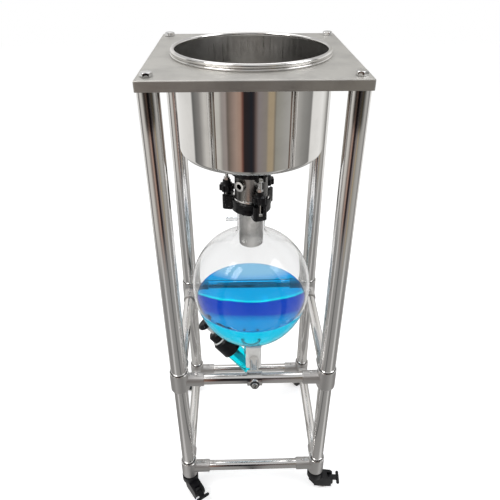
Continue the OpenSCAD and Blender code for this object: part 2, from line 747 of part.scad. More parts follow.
module receiving_flask() {
    bottom = valve_depth + drain_r + 6;
    outer = concat([[neck_r - glass_t, stack_glass], [flange_r, stack_glass], [flange_r, stack_cushion],
        [neck_r, stack_cushion]], flask_side(0),
        [[drain_r, bottom - 10], [drain_r - 6, bottom], [nozzle_d / 2, bottom + 4],
        [nozzle_d / 2, bottom + nozzle_len], [0, bottom + nozzle_len]]);
    inner = concat([[0, stack_glass - 1], [neck_r - glass_t, stack_glass - 1]], flask_side(glass_t),
        [[drain_r - glass_t, bottom - 14], [drain_r - glass_t - 5, bottom - 5], [nozzle_bore / 2, bottom - 2],
        [nozzle_bore / 2, bottom + nozzle_len + 1], [0, bottom + nozzle_len + 1]]);
    side_h = plate_top_z - stack_cushion - arm_drop;
    color("lightcyan", 0.4) difference() {
        union() {
            turned(concat([[0, stack_glass]], outer));
            at_depth(valve_depth) sphere(r = barrel_r);
            valve_frame() cylinder(r = barrel_r, h = barrel_len);
            translate([-neck_r + 1, 0, side_h]) rotate([0, -90, 0]) cylinder(d = side_arm_d, h = arm_reach - neck_r + 1);
            for (i = [0:2]) translate([4 + 5 * i - arm_reach, 0, side_h]) rotate([0, -90, 0])
                cylinder(d1 = side_arm_d + 3, d2 = side_arm_d, h = 4);
        }
        turned(inner);
        at_depth(valve_depth) sphere(r = barrel_r - glass_t);
        valve_frame() cylinder(r = barrel_r - glass_t, h = barrel_len + 1);
        translate([-neck_r + glass_t + 2, 0, side_h]) rotate([0, -90, 0]) cylinder(d = side_arm_d / 2, h = arm_reach);
    }
}

// The liquid fills the flask to its level, the drain neck and the valve barrel round the plunger
module filtrate() {
    w = glass_t + liquid_gap;
    side = [for (p = flask_side(w)) if (p[1] > liquid_depth) p];
    lift = (liquid_depth - flask_depth) / (flask_bottom_r - w);
    level_r = (flask_r - w) * sqrt(1 - lift * lift);
    bottom = valve_depth + drain_r - 8;
    color("deepskyblue") difference() {
        union() {
            turned(concat([[0, liquid_depth], [level_r, liquid_depth]], side,
                [[drain_r - w, bottom], [0, bottom]]));
            at_depth(valve_depth) sphere(r = barrel_r - w);
            valve_frame() cylinder(r = barrel_r - w, h = cap_start - 2);
        }
        valve_frame() translate([0, 0, stem_tip - liquid_gap])
            cylinder(d = plunger_d + 2 * liquid_gap, h = cap_end);
    }
}

// The screw cap, with grooves for grip
module valve_cap() {
    cap_r = cap_d / 2;
    grooves = 18;
    color("black") valve_frame() difference() {
        translate([0, 0, cap_start]) rotate_extrude() polygon([[barrel_r + 0.3, 0], [cap_r - 2, 0], [cap_r, 2],
            [cap_r, cap_len - 8], [cap_r - 6, cap_len], [spindle_d / 2 + run_gap, cap_len],
            [spindle_d / 2 + run_gap, barrel_len - cap_start + 2.5], [barrel_r + 0.3, barrel_len - cap_start + 0.5]]);
        for (i = [0:grooves - 1]) rotate([0, 0, i * 360 / grooves]) translate([cap_r + 1.2, 0, cap_start + 6])
            cylinder(r = 2.5, h = cap_len - 20, $fn = 24);
    }
}

module gland_nut() {
    r = gland_d / 2;
    color("black") valve_frame() translate([0, 0, gland_start]) difference() {
        rotate_extrude() polygon([[spindle_d / 2 + run_gap, 0], [r - 1, 0], [r, 1], [r, gland_len - 8],
            [r - 7, gland_len], [spindle_d / 2 + run_gap, gland_len]]);
        for (i = [0:7]) rotate([0, 0, i * 45]) translate([r + 1.5, 0, 4]) cylinder(r = 4, h = gland_len, $fn = 24);
    }
}

module valve_stem() {
    color("white") valve_frame() rotate_extrude() polygon([[0, stem_tip], [plunger_d / 2 - 7, stem_tip + 2],
        [plunger_d / 2, stem_tip + stem_tip_len], [plunger_d / 2, spindle_start], [spindle_d / 2, spindle_start + 1],
        [spindle_d / 2, spindle_end], [0, spindle_end]]);
}

// The handle is a round grip with finger hollows
module valve_handle() {
    r = handle_d / 2;
    color("black") valve_frame() translate([0, 0, handle_start]) difference() {
        rotate_extrude() polygon([[spindle_d / 2 + run_gap, 0], [r - 8, 0], [r, 6], [r, handle_t - 5],
            [r - 5, handle_t], [0, handle_t], [0, spindle_end - handle_start + 0.3],
            [spindle_d / 2 + run_gap, spindle_end - handle_start + 0.3]]);
        for (i = [0:5]) rotate([0, 0, i * 60]) translate([r + 6, 0, -1]) cylinder(r = 9, h = handle_t + 2, $fn = 32);
    }
}

// The arm's tube is welded to a clamp round the front bar
module support_arm() {
    ring_r = bar_d / 2 + slip + arm_clamp_t;
    color("silver") translate([arm_x, 0, middle_z]) difference() {
        union() {
            translate([0, -post_y, 0]) rotate([0, 90, 0]) cylinder(r = ring_r, h = arm_clamp_w, center = true);
            translate([0, -post_y, 0]) rotate([90, 0, 0]) cylinder(d = arm_d, h = ring_r + 3);
            translate([0, arm_end_y, 0]) rotate([90, 0, 0]) cylinder(d = arm_d, h = arm_end_y + post_y);
        }
        translate([0, -post_y, 0]) rotate([0, 90, 0]) cylinder(d = bar_d + 2 * slip, h = arm_clamp_w + 2, center = true);
        translate([0, -post_y, 0]) rotate([90, 0, 0]) cylinder(d = 8 + 2 * slip, h = ring_r + 10);
        translate([0, arm_end_y + 1, 0]) rotate([90, 0, 0])
            cylinder(d = arm_d - 2 * tube_wall, h = arm_end_y - arm_start_y - 5);
    }
}

module clamp_washer() {
    face = -post_y - bar_d / 2 - slip - arm_clamp_t - 3;
    color("black") translate([arm_x, face, middle_z]) rotate([90, 0, 0]) difference() {
        cylinder(d = arm_d + 1, h = 3);
        translate([0, 0, -1]) cylinder(d = 8 + 2 * slip, h = 5);
    }
}

// The screw that locks the clamp on the bar
module lock_screw() {
    face = -post_y - bar_d / 2 - slip - arm_clamp_t - 6;
    color("silver") translate([arm_x, face, middle_z]) rotate([90, 0, 0]) difference() {
        union() {
            cylinder(d = 22, h = 7);
            translate([0, 0, -arm_clamp_t - 5.9]) cylinder(d = 8, h = arm_clamp_t + 6);
        }
        translate([0, 0, 3]) cylinder(d = 10, h = 5, $fn = 6);
    }
}

// The soft saddle under the front of the flask, cut to the flask's curve
module flask_saddle() {
    mid_y = saddle_front_y + saddle_l / 2;
    curve = [for (p = flask_side(-saddle_gap)) if (p[1] > flask_depth) p];
    color("whitesmoke") difference() {
        translate([arm_x, mid_y, plate_top_z - saddle_bottom]) linear_extrude(height = saddle_bottom - saddle_top)
            rounded_rect(saddle_w, saddle_l, 8);
        turned(concat([[0, flask_depth], [flask_r, flask_depth]], curve, [[0, saddle_bottom + 5]]));
        translate([arm_x, arm_end_y + saddle_gap, middle_z]) rotate([90, 0, 0])
            cylinder(d = arm_d + 2 * saddle_gap, h = 80);
    }
}

top_plate();
plate_bolts();
upper_post(-1, -1);  // upper_post_fl
upper_post(1, -1);  // upper_post_fr
upper_post(-1, 1);  // upper_post_rl
upper_post(1, 1);  // upper_post_rr
lower_post(-1, -1);  // lower_post_fl
lower_post(1, -1);  // lower_post_fr
lower_post(-1, 1);  // lower_post_rl
lower_post(1, 1);  // lower_post_rr
middle_collar(-1, -1);  // middle_collar_fl
middle_collar(1, -1);  // middle_collar_fr
middle_collar(-1, 1);  // middle_collar_rl
middle_collar(1, 1);  // middle_collar_rr
bottom_collar(-1, -1);  // bottom_collar_fl
bottom_collar(1, -1);  // bottom_collar_fr
bottom_collar(-1, 1);  // bottom_collar_rl
bottom_collar(1, 1);  // bottom_collar_rr
bar_x(-1, middle_z);  // middle_bar_front
bar_x(1, middle_z);  // middle_bar_rear
bar_y(-1, middle_z);  // middle_bar_left
bar_y(1, middle_z);  // middle_bar_right
bar_x(-1, bottom_z);  // bottom_bar_front
bar_x(1, bottom_z);  // bottom_bar_rear
bar_y(-1, bottom_z);  // bottom_bar_left
bar_y(1, bottom_z);  // bottom_bar_right
set_screws();
caster_fork(-1, -1);  // caster_fork_fl
caster_fork(1, -1);  // caster_fork_fr
caster_fork(-1, 1);  // caster_fork_rl
caster_fork(1, 1);  // caster_fork_rr
caster_wheel(-1, -1);  // caster_wheel_fl
caster_wheel(1, -1);  // caster_wheel_fr
caster_wheel(-1, 1);  // caster_wheel_rl
caster_wheel(1, 1);  // caster_wheel_rr
caster_brake(-1, -1);  // caster_brake_fl
caster_brake(1, -1);  // caster_brake_fr
caster_brake(-1, 1);  // caster_brake_rl
caster_brake(1, 1);  // caster_brake_rr
filter_bowl();
filter_plate();
drip_pipe();
outlet_spool();
upper_clamp_ring();
lower_clamp_ring();
gaskets();
tie_bolts();
clamp_knob(0);  // clamp_knob_1
clamp_knob(1);  // clamp_knob_2
clamp_knob(2);  // clamp_knob_3
receiving_flask();
filtrate();
valve_cap();
gland_nut();
valve_stem();
valve_handle();
support_arm();
lock_screw();
clamp_washer();
flask_saddle();
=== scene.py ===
"""Vacuum filter stand: a steel filter bowl clamped over a glass receiving flask, in a tube frame on casters.

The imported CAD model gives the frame. Each sub-assembly below builds the visible pieces for its nodes, in metres,
and dresses them. The sizes in the dataclasses are the ones that the part's own source gives.
"""

import logging
import math
from dataclasses import dataclass
from enum import Enum
from typing import Callable, Optional, Sequence, Union

import bmesh
import bpy
from mathutils import Matrix, Vector


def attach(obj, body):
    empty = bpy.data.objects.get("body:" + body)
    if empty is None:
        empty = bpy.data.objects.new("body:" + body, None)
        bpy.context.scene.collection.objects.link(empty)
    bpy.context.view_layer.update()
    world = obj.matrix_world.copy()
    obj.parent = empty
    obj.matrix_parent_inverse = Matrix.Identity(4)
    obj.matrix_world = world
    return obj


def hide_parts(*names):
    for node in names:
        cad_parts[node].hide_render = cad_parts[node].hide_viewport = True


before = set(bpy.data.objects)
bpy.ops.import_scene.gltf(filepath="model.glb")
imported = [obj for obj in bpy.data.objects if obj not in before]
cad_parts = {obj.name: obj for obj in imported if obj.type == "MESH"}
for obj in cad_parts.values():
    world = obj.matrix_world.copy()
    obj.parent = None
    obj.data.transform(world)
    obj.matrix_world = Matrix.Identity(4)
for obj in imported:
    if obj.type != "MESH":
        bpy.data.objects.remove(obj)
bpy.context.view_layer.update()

log = logging.getLogger("filter_stand")

Point = tuple[float, float]
Triple = tuple[float, float, float]
Colour = Triple
Socket = bpy.types.NodeSocket
Value = Union[Socket, float, tuple]
RadiusRule = Callable[[float, float, float], float]

PLATE_TOP = 1.480
POST_X = 0.2265
POST_Y = 0.231
VALVE_SEAT = 0.380
VALVE_BEARING = 168.0
VALVE_RISE = 47.6
VALVE_BORE = 0.00905


class Corner(Enum):
    """A corner of the stand: its short name, and its side as signs of x and y."""

    FRONT_LEFT = ("fl", -1, -1)
    FRONT_RIGHT = ("fr", 1, -1)
    REAR_LEFT = ("rl", -1, 1)
    REAR_RIGHT = ("rr", 1, 1)

    @property
    def short(self) -> str:
        """The corner's short name, as in the CAD nodes."""
        return self.value[0]

    @property
    def spot(self) -> Vector:
        """The post's centre on the floor."""
        return Vector((self.value[1] * POST_X, self.value[2] * POST_Y, 0.0))

    @property
    def signs(self) -> tuple[int, int]:
        """The signs of x and y at this corner."""
        return self.value[1], self.value[2]


def below(depth: float) -> float:
    """The height of a point that lies a depth below the plate's top."""
    return PLATE_TOP - depth


def rotation(degrees: float, axis: str) -> Matrix:
    """A turn by an angle in degrees about an axis."""
    return Matrix.Rotation(math.radians(degrees), 4, axis)


def arc(cx: float, cy: float, radius: float, start: float, end: float, steps: int) -> list[Point]:
    """Points on an arc.

    Args:
        cx: The centre's first coordinate.
        cy: The centre's second coordinate.
        radius: The arc's radius.
        start: The first angle in degrees.
        end: The last angle in degrees.
        steps: The number of pieces that the arc is cut into.

    Returns:
        The points, both ends among them.
    """
    angles = [math.radians(start + (end - start) * i / steps) for i in range(steps + 1)]
    return [(cx + radius * math.cos(a), cy + radius * math.sin(a)) for a in angles]


def softened(profile: Sequence[Point], radius: float) -> list[Point]:
    """Rounds a closed profile's corners, so that each edge catches the light.

    Args:
        profile: The profile's points.
        radius: The wanted radius at each corner.

    Returns:
        The points of the rounded profile.
    """
    steps, share = 3, 0.4
    sliver, blunt = math.radians(4), math.radians(155)
    out: list[Point] = []
    for i, point in enumerate(profile):
        here = Vector(point)
        back = Vector(profile[i - 1]) - here
        ahead = Vector(profile[(i + 1) % len(profile)]) - here
        if back.length < 1e-7 or ahead.length < 1e-7:
            continue
        opening = back.angle(ahead)
        if opening > blunt or opening < sliver:
            out.append(tuple(here))
            continue
        reach = min(radius / math.tan(opening / 2), share * back.length, share * ahead.length)
        first, last = here + back.normalized() * reach, here + ahead.normalized() * reach
        for k in range(steps + 1):
            t = k / steps
            out.append(tuple((1 - t) ** 2 * first + 2 * t * (1 - t) * here + t * t * last))
    return out


def cleaned(bm: bmesh.types.BMesh) -> bmesh.types.BMesh:
    """Merges doubles, closes poles, drops loose edges and points the faces outwards."""
    bmesh.ops.remove_doubles(bm, verts=bm.verts, dist=1e-6)
    if bm.faces:
        bmesh.ops.dissolve_degenerate(bm, edges=bm.edges, dist=1e-7)
        loose = [e for e in bm.edges if not e.link_faces]
        bmesh.ops.delete(bm, geom=loose, context="EDGES")
        bmesh.ops.recalc_face_normals(bm, faces=bm.faces)
    return bm


class Draft:
    """One piece in the making: shells gathered in a mesh, then made an object at the origin."""

    def __init__(self) -> None:
        """Starts with an empty mesh."""
        self.bm = bmesh.new()

    def loops(self, rings: Sequence[Sequence[Vector]], place: Matrix = Matrix(), wrap: bool = True,
              close: bool = False) -> "Draft":
        """Joins rings of equal length with four-sided faces.

        Args:
            rings: The rings, in order.
            place: Where the rings stand.
            wrap: Whether each ring's last point joins its first.
            close: Whether the last ring joins the first.

        Returns:
            The same draft.
        """
        made = [[self.bm.verts.new(place @ p) for p in ring] for ring in rings]
        count = len(made[0])
        pairs = list(zip(made, made[1:])) + ([(made[-1], made[0])] if close else [])
        for low, high in pairs:
            for i in range(count if wrap else count - 1):
                j = (i + 1) % count
                self.bm.faces.new((low[i], low[j], high[j], high[i]))
        return self

    def turned(self, profile: Sequence[Point], place: Matrix = Matrix(), steps: int = 128,
               rule: RadiusRule = lambda angle, r, z: r) -> "Draft":
        """Turns a closed profile about the local Z axis.

        Args:
            profile: Points as radius and height.
            place: Where the turned shape stands.
            steps: The number of faces round the axis.
            rule: Gives the radius from angle, radius and height.

        Returns:
            The same draft.
        """
        bearings = [2 * math.pi * k / steps for k in range(steps)]
        rings = [[Vector((rule(a, r, z) * math.cos(a), rule(a, r, z) * math.sin(a), z)) for r, z in profile]
                 for a in bearings]
        return self.loops(rings, place, close=True)

    def piece(self, name: str, finish: "Finish", body: str = "stand", nodes: Sequence[str] = (),
              sharp: float = 38.0) -> bpy.types.Object:
        """Makes the gathered mesh a visible piece.

        Args:
            name: The piece's name.
            finish: Its finish.
            body: The CAD body that it rides on.
            nodes: The CAD nodes that it stands for.
            sharp: The angle in degrees above which an edge stays sharp.

        Returns:
            The new object.
        """
        return settle(self.loose(name, sharp), finish, body, nodes)

    def loose(self, name: str, sharp: Optional[float] = 38.0) -> bpy.types.Object:
        """Makes the gathered mesh an object that rides on nothing, for use as a template or a core."""
        return new_object(cleaned(self.bm), name, sharp)


def new_object(bm: bmesh.types.BMesh, name: str, sharp: Optional[float]) -> bpy.types.Object:
    """Puts a mesh into the scene as an object.

    Args:
        bm: The mesh, which is freed.
        name: The object's name.
        sharp: The angle above which an edge stays sharp, or None for flat faces.

    Returns:
        The new object.
    """
    mesh = bpy.data.meshes.new(name)
    bm.to_mesh(mesh)
    bm.free()
    if sharp is not None:
        mesh.shade_smooth()
        mesh.set_sharp_from_angle(angle=math.radians(sharp))
    obj = bpy.data.objects.new(name, mesh)
    bpy.context.scene.collection.objects.link(obj)
    return obj


def settle(obj: bpy.types.Object, finish: "Finish", body: str, nodes: Sequence[str]) -> bpy.types.Object:
    """Dresses a piece, puts it on its body and lets it stand for its CAD nodes.

    Args:
        obj: The piece.
        finish: Its finish.
        body: The CAD body that it rides on.
        nodes: The CAD nodes that it stands for.

    Returns:
        The same object.
    """
    obj.data.materials.clear()
    obj.data.materials.append(finish.material())
    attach(obj, body)
    if nodes:
        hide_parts(*nodes)
    log.info("%s: %d faces on %s", obj.name, len(obj.data.polygons), body)
    return obj


def second_finish(obj: bpy.types.Object, finish: "Finish",
                  chosen: Callable[[bpy.types.MeshPolygon], bool]) -> None:
    """Gives some faces of a piece a second finish.

    Args:
        obj: The piece.
        finish: The second finish.
        chosen: Tells whether a face takes it.
    """
    obj.data.materials.append(finish.material())
    for face in obj.data.polygons:
        if chosen(face):
            face.material_index = 1


def refined_copy(node: str, name: str, finish: "Finish", body: str = "stand", ease: float = 0.0004,
                 sharp: float = 34.0) -> bpy.types.Object:
    """Makes a merged copy of a CAD node with eased edges and smooth curved faces.

    Args:
        node: The CAD node.
        name: The new piece's name.
        finish: Its finish.
        body: The body that it rides on.
        ease: The width of the eased edges, or 0 for none.
        sharp: The angle in degrees above which an edge is eased.

    Returns:
        The new piece, which stands for the node.
    """
    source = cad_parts[node]
    bm = bmesh.new()
    bm.from_mesh(source.data)
    bmesh.ops.remove_doubles(bm, verts=bm.verts, dist=2e-6)
    bmesh.ops.dissolve_limit(bm, angle_limit=math.radians(0.6), verts=bm.verts, edges=bm.edges)
    obj = new_object(bm, name, sharp)
    if ease:
        bevel = obj.modifiers.new("eased_edges", "BEVEL")
        bevel.width = ease
        bevel.segments = 2
        bevel.limit_method = "ANGLE"
        bevel.angle_limit = math.radians(sharp)
        bevel.harden_normals = True
    return settle(obj, finish, body, [node])


def baked(obj: bpy.types.Object) -> bpy.types.Mesh:
    """Returns the object's evaluated mesh as plain data, with its modifiers removed."""
    bpy.context.view_layer.update()
    graph = bpy.context.evaluated_depsgraph_get()
    mesh = bpy.data.meshes.new_from_object(obj.evaluated_get(graph))
    obj.modifiers.clear()
    return mesh


def joined_solid(name: str, parts: Sequence[Draft], cuts: Sequence[Draft]) -> Draft:
    """Unites shells and cuts others out of them.

    Args:
        name: A name for the working objects.
        parts: Closed shells that are united.
        cuts: Closed shells that are taken away.

    Returns:
        A draft that holds the result.
    """
    made = [draft.loose(f"{name}_{k}", None) for k, draft in enumerate([*parts, *cuts])]
    base = made[0]
    for k, tool in enumerate(made[1:], start=1):
        step = base.modifiers.new(f"step_{k}", "BOOLEAN")
        step.operation = "UNION" if k < len(parts) else "DIFFERENCE"
        step.solver = "EXACT"
        step.object = tool
    result = Draft()
    mesh = baked(base)
    result.bm.from_mesh(mesh)
    bpy.data.meshes.remove(mesh)
    for obj in made:
        bpy.data.objects.remove(obj)
    return result


class NodeBench:
    """A node tree being wired: adds nodes by type and sets their sockets by name."""

    def __init__(self, tree: bpy.types.NodeTree) -> None:
        """Keeps the tree that nodes are added to."""
        self.tree = tree

    def add(self, kind: str, inputs: Optional[dict] = None, **settings) -> bpy.types.Node:
        """Adds a node.

        Args:
            kind: The node's type name.
            inputs: Values, or sockets to link from, by input name or number.
            **settings: The node's own settings.

        Returns:
            The node.
        """
        node = self.tree.nodes.new(kind)
        for key, value in settings.items():
            setattr(node, key, value)
        for key, value in (inputs or {}).items():
            if isinstance(value, Socket):
                self.tree.links.new(value, node.inputs[key])
            else:
                node.inputs[key].default_value = value
        return node

    def ramp(self, factor: Socket, stops: Sequence[tuple[float, Colour]]) -> Socket:
        """Adds a colour ramp.

        Args:
            factor: The socket that drives the ramp.
            stops: Positions and colours.

        Returns:
            The ramp's colour socket.
        """
        node = self.add("ShaderNodeValToRGB", {"Fac": factor})
        elements = node.color_ramp.elements
        while len(elements) < len(stops):
            elements.new(0.5)
        for element, (place, colour) in zip(elements, stops):
            element.position = place
            element.color = (*colour, 1.0)
        return node.outputs["Color"]

    def math(self, operation: str, *values: Value) -> Socket:
        """Adds a math node on up to three values and returns its result."""
        return self.add("ShaderNodeMath", dict(enumerate(values)), operation=operation).outputs["Value"]

    def vector(self, operation: str, out: str, inputs: dict) -> Socket:
        """Adds a vector math node.

        Args:
            operation: What it does.
            out: The result's name.
            inputs: Its inputs by number or name.

        Returns:
            The result.
        """
        return self.add("ShaderNodeVectorMath", inputs, operation=operation).outputs[out]

    def remap(self, value: Value, low: float, high: float, to_low: Value = 0.0, to_high: Value = 1.0,
              interpolation: str = "LINEAR") -> Socket:
        """Maps a value from one range to another.

        Args:
            value: The value.
            low: The first end of its range.
            high: The other end.
            to_low: The result at the first end.
            to_high: The result at the other end.
            interpolation: How the result runs between them.

        Returns:
            The result.
        """
        node = self.add("ShaderNodeMapRange", {"Value": value, "From Min": low, "From Max": high, "To Min": to_low,
                                               "To Max": to_high}, interpolation_type=interpolation)
        return node.outputs["Result"]

    def noise(self, spot: Value, scale: Value, detail: float, roughness: float = 0.5) -> Socket:
        """Adds a noise texture.

        Args:
            spot: The coordinates.
            scale: How fine the noise is.
            detail: How many finer layers it has.
            roughness: How strong they are.

        Returns:
            The noise's factor.
        """
        return self.add("ShaderNodeTexNoise", {"Vector": spot, "Scale": scale, "Detail": detail,
                                               "Roughness": roughness}).outputs["Fac"]

    def mix(self, factor: Value, first: Value, second: Value, blend: str = "MIX") -> Socket:
        """Mixes two colours.

        Args:
            factor: The second colour's share.
            first: The first colour.
            second: The second colour.
            blend: How they mix.

        Returns:
            The mixed colour.
        """
        return self.add("ShaderNodeMix", {"Factor": factor, 6: first, 7: second}, data_type="RGBA",
                        blend_type=blend).outputs[2]

    def bump(self, height: Value, distance: float, **inputs: Value) -> Socket:
        """Adds a bump at full strength and returns its normal."""
        return self.add("ShaderNodeBump", {"Height": height, "Strength": 1.0, "Distance": distance,
                                           **inputs}).outputs["Normal"]

    def upright(self, z: Value) -> Socket:
        """Adds a vector along Z and returns it."""
        return self.add("ShaderNodeCombineXYZ", {"Z": z}).outputs["Vector"]

    def principled(self, inputs: dict) -> Socket:
        """Adds a principled shader and returns it."""
        return self.add("ShaderNodeBsdfPrincipled", inputs).outputs["BSDF"]

    def looked_at(self) -> Socket:
        """Returns 1 where the camera looks straight at a surface, a quarter through glass, and else 0."""
        path = self.add("ShaderNodeLightPath")
        return self.math("MAXIMUM", path.outputs["Is Camera Ray"],
                         self.math("MULTIPLY", path.outputs["Is Transmission Ray"], 0.25))


def fresh_tree(name: str, kind: str, inputs: Sequence[tuple], outputs: Sequence[tuple]) -> tuple:
    """Makes a named node tree with its inputs and outputs.

    Args:
        name: The tree's name.
        kind: The tree's type name.
        inputs: The label, the kind and, where it has one, the first value of each input.
        outputs: The label and the kind of each output.

    Returns:
        A bench on the tree, the sockets that give its inputs and the sockets that take its outputs.
    """
    tree = bpy.data.node_groups.new(name, kind)
    for label, socket, *value in inputs:
        made = tree.interface.new_socket(name=label, in_out="INPUT", socket_type=f"NodeSocket{socket}")
        if value:
            made.default_value = value[0]
    for label, socket in outputs:
        tree.interface.new_socket(name=label, in_out="OUTPUT", socket_type=f"NodeSocket{socket}")
    bench = NodeBench(tree)
    return bench, bench.add("NodeGroupInput").outputs, bench.add("NodeGroupOutput").inputs


class SurfaceGroup(Enum):
    """The shared shader groups, by the name of the group that each one is built as."""

    RELIEF = "fine_relief"
    BRUSH = "brush_lines"
    WEAR = "handled_tint"


def surface_group(kind: SurfaceGroup) -> bpy.types.NodeTree:
    """Returns a shared shader group, built the first time it is asked for.

    Args:
        kind: Which group.

    Returns:
        The group's tree.
    """
    if kind.value in bpy.data.node_groups:
        return bpy.data.node_groups[kind.value]
    own, results = {
        SurfaceGroup.RELIEF: ((("Low", "Float", 0.3), ("High", "Float", 0.4)),
                              (("Height", "Float"), ("Value", "Float"))),
        SurfaceGroup.BRUSH: ((("Stretch", "Vector", (1.0, 1.0, 1.0)),), (("Lines", "Float"),)),
        SurfaceGroup.WEAR: ((("Clean", "Color", (0.5, 0.5, 0.5, 1.0)), ("Handled", "Color", (0.4, 0.4, 0.4, 1.0))),
                            (("Color", "Color"),)),
    }[kind]
    bench, given, sink = fresh_tree(kind.value, "ShaderNodeTree",
                                    (("Vector", "Vector"), ("Scale", "Float", 200.0)) + own, results)
    spot, scale = given["Vector"], given["Scale"]
    if kind is SurfaceGroup.RELIEF:
        made = (bench.noise(spot, scale, 4.0),
                bench.remap(bench.noise(spot, 9.0, 3.0), 0.3, 0.7, given["Low"], given["High"]))
    elif kind is SurfaceGroup.BRUSH:
        pulled = bench.vector("MULTIPLY", "Vector", {0: spot, 1: given["Stretch"]})
        made = (bench.noise(pulled, scale, 5.0, 0.65),)
    else:
        share = bench.remap(bench.noise(spot, scale, 6.0, 0.6), 0.42, 0.66)
        made = (bench.mix(share, given["Clean"], given["Handled"]),)
    for (label, _), socket in zip(results, made):
        bench.tree.links.new(socket, sink[label])
    return bench.tree


@dataclass(frozen=True)
class Finish:
    """A finish of one of the object's materials.

    Attributes:
        name: The material's name.
        slot: The record's slot that it belongs to. It is not used.
    """

    name: str
    slot: str

    def material(self) -> bpy.types.Material:
        """Returns the finish as a material, built the first time it is asked for."""
        made = bpy.data.materials.get(self.name)
        if made is None:
            made = bpy.data.materials.new(self.name)
            made.use_nodes = True
            made.node_tree.nodes.clear()
            bench = NodeBench(made.node_tree)
            shader = self.wire(bench, bench.add("ShaderNodeTexCoord").outputs["Object"])
            bench.add("ShaderNodeOutputMaterial", {"Surface": shader})
        return made

    def wire(self, bench: NodeBench, spot: Socket) -> Socket:
        """Wires the finish's nodes and returns the shader socket."""
        raise NotImplementedError


@dataclass(frozen=True)
class WornFinish(Finish):
    """A finish with a fine grain and with patches of a second tone.

    Attributes:
        tone: The main colour.
        worn: The colour that broad patches take.
        smooth: The lowest roughness.
        rough: The highest roughness.
        grain: Height in metres of the fine grain.
        grain_scale: How fine the grain is, per metre.
        patches: How fine the patches are, per metre.
    """

    tone: Colour
    worn: Colour
    smooth: float
    rough: float
    grain: float
    grain_scale: float
    patches: float

    def surface(self, bench: NodeBench, spot: Socket) -> tuple:
        """Returns the sockets of the grain's height, the roughness and the colour."""
        relief = bench.add("ShaderNodeGroup", {
            "Vector": spot, "Scale": self.grain_scale, "Low": self.smooth, "High": self.rough},
            node_tree=surface_group(SurfaceGroup.RELIEF)).outputs
        tint = bench.add("ShaderNodeGroup", {
            "Vector": spot, "Scale": self.patches, "Clean": (*self.tone, 1.0), "Handled": (*self.worn, 1.0)},
            node_tree=surface_group(SurfaceGroup.WEAR)).outputs
        return relief["Height"], relief["Value"], tint["Color"]


@dataclass(frozen=True)
class Steel(WornFinish):
    """Stainless steel, from mirror polish to a blasted casting.

    Attributes:
        ripple: Height in metres of the slow waves that bend reflections.
        brush: How much the brush lines are pulled along each axis, or None for a plain grain.
        shade: How much painted shade darkens the metal from the middle plane to the sides, as reflections would.
        reach: How far from the middle plane the painted shade is darkest.
        scuffing: How much the brush lines add to the roughness.
        waves: How fine the slow waves are, per metre.
    """

    tone: Colour = (0.78, 0.77, 0.755)
    worn: Colour = (0.72, 0.71, 0.695)
    smooth: float = 0.05
    rough: float = 0.09
    grain: float = 0.0
    grain_scale: float = 900.0
    patches: float = 14.0
    ripple: float = 0.0002
    brush: Optional[Triple] = None
    shade: float = 0.0
    reach: float = 0.17
    scuffing: float = 0.35
    waves: float = 7.0

    def wire(self, bench: NodeBench, spot: Socket) -> Socket:
        """Wires a metal with patches, grain or brush lines, slow waves and, where set, painted shade at the sides."""
        height, roughness, colour = self.surface(bench, spot)
        if self.brush:
            height = bench.add("ShaderNodeGroup", {
                "Vector": spot, "Scale": self.grain_scale, "Stretch": self.brush},
                node_tree=surface_group(SurfaceGroup.BRUSH)).outputs["Lines"]
            roughness = bench.math("ADD", roughness, bench.math("MULTIPLY", height, self.scuffing))
        normal = bench.bump(bench.noise(spot, self.waves, 1.0), self.ripple)
        if self.grain:
            normal = bench.bump(height, self.grain, Normal=normal)
        # Painted shade: the metal darkens with its distance from the plane x = 0, standing in for the reflections'
        # falloff.
        if self.shade:
            aside = bench.math("ABSOLUTE", bench.add("ShaderNodeSeparateXYZ", {"Vector": spot}).outputs["X"])
            painted_shade_factor = bench.remap(aside, 0.1 * self.reach, self.reach, 1.0, 1.0 - self.shade, "SMOOTHSTEP")
            colour = bench.vector("SCALE", "Vector", {0: colour, "Scale": painted_shade_factor})
        return bench.principled({"Base Color": colour, "Metallic": 1.0, "Roughness": roughness, "Normal": normal})


@dataclass(frozen=True)
class Moulding(WornFinish):
    """Moulded plastic, rubber or a coated casting.

    Attributes:
        inner_glow: How much light passes under the surface.
        shine: How strongly the surface reflects.
    """

    tone: Colour = (0.02, 0.02, 0.022)
    worn: Colour = (0.03, 0.03, 0.032)
    smooth: float = 0.3
    rough: float = 0.42
    grain: float = 0.00004
    grain_scale: float = 1400.0
    patches: float = 40.0
    inner_glow: float = 0.0
    shine: float = 0.5

    def wire(self, bench: NodeBench, spot: Socket) -> Socket:
        """Wires a plastic with a moulded grain and slightly faded patches."""
        height, roughness, colour = self.surface(bench, spot)
        return bench.principled({
            "Base Color": colour, "Roughness": roughness, "Specular IOR Level": self.shine,
            "Subsurface Weight": self.inner_glow, "Subsurface Radius": (0.01, 0.01, 0.01),
            "Normal": bench.bump(height, self.grain)})


@dataclass(frozen=True)
class ClearGlass(Finish):
    """Clear blown glass with slow waves in its surface.

    Attributes:
        tone: The colour that light takes on as it enters.
        bend: The index of refraction.
        wave: Height in metres of the waves.
        waves: How fine the waves are, per metre.
    """

    tone: Colour = (0.985, 0.985, 0.985)
    bend: float = 1.33
    wave: float = 0.0004
    waves: float = 5.0

    def wire(self, bench: NodeBench, spot: Socket) -> Socket:
        """Wires plain glass with waves from a slow noise."""
        return bench.principled({
            "Base Color": (*self.tone, 1.0), "Metallic": 0.0, "Roughness": 0.0, "IOR": self.bend,
            "Transmission Weight": 1.0, "Normal": bench.bump(bench.noise(spot, self.waves, 2.0), self.wave)})


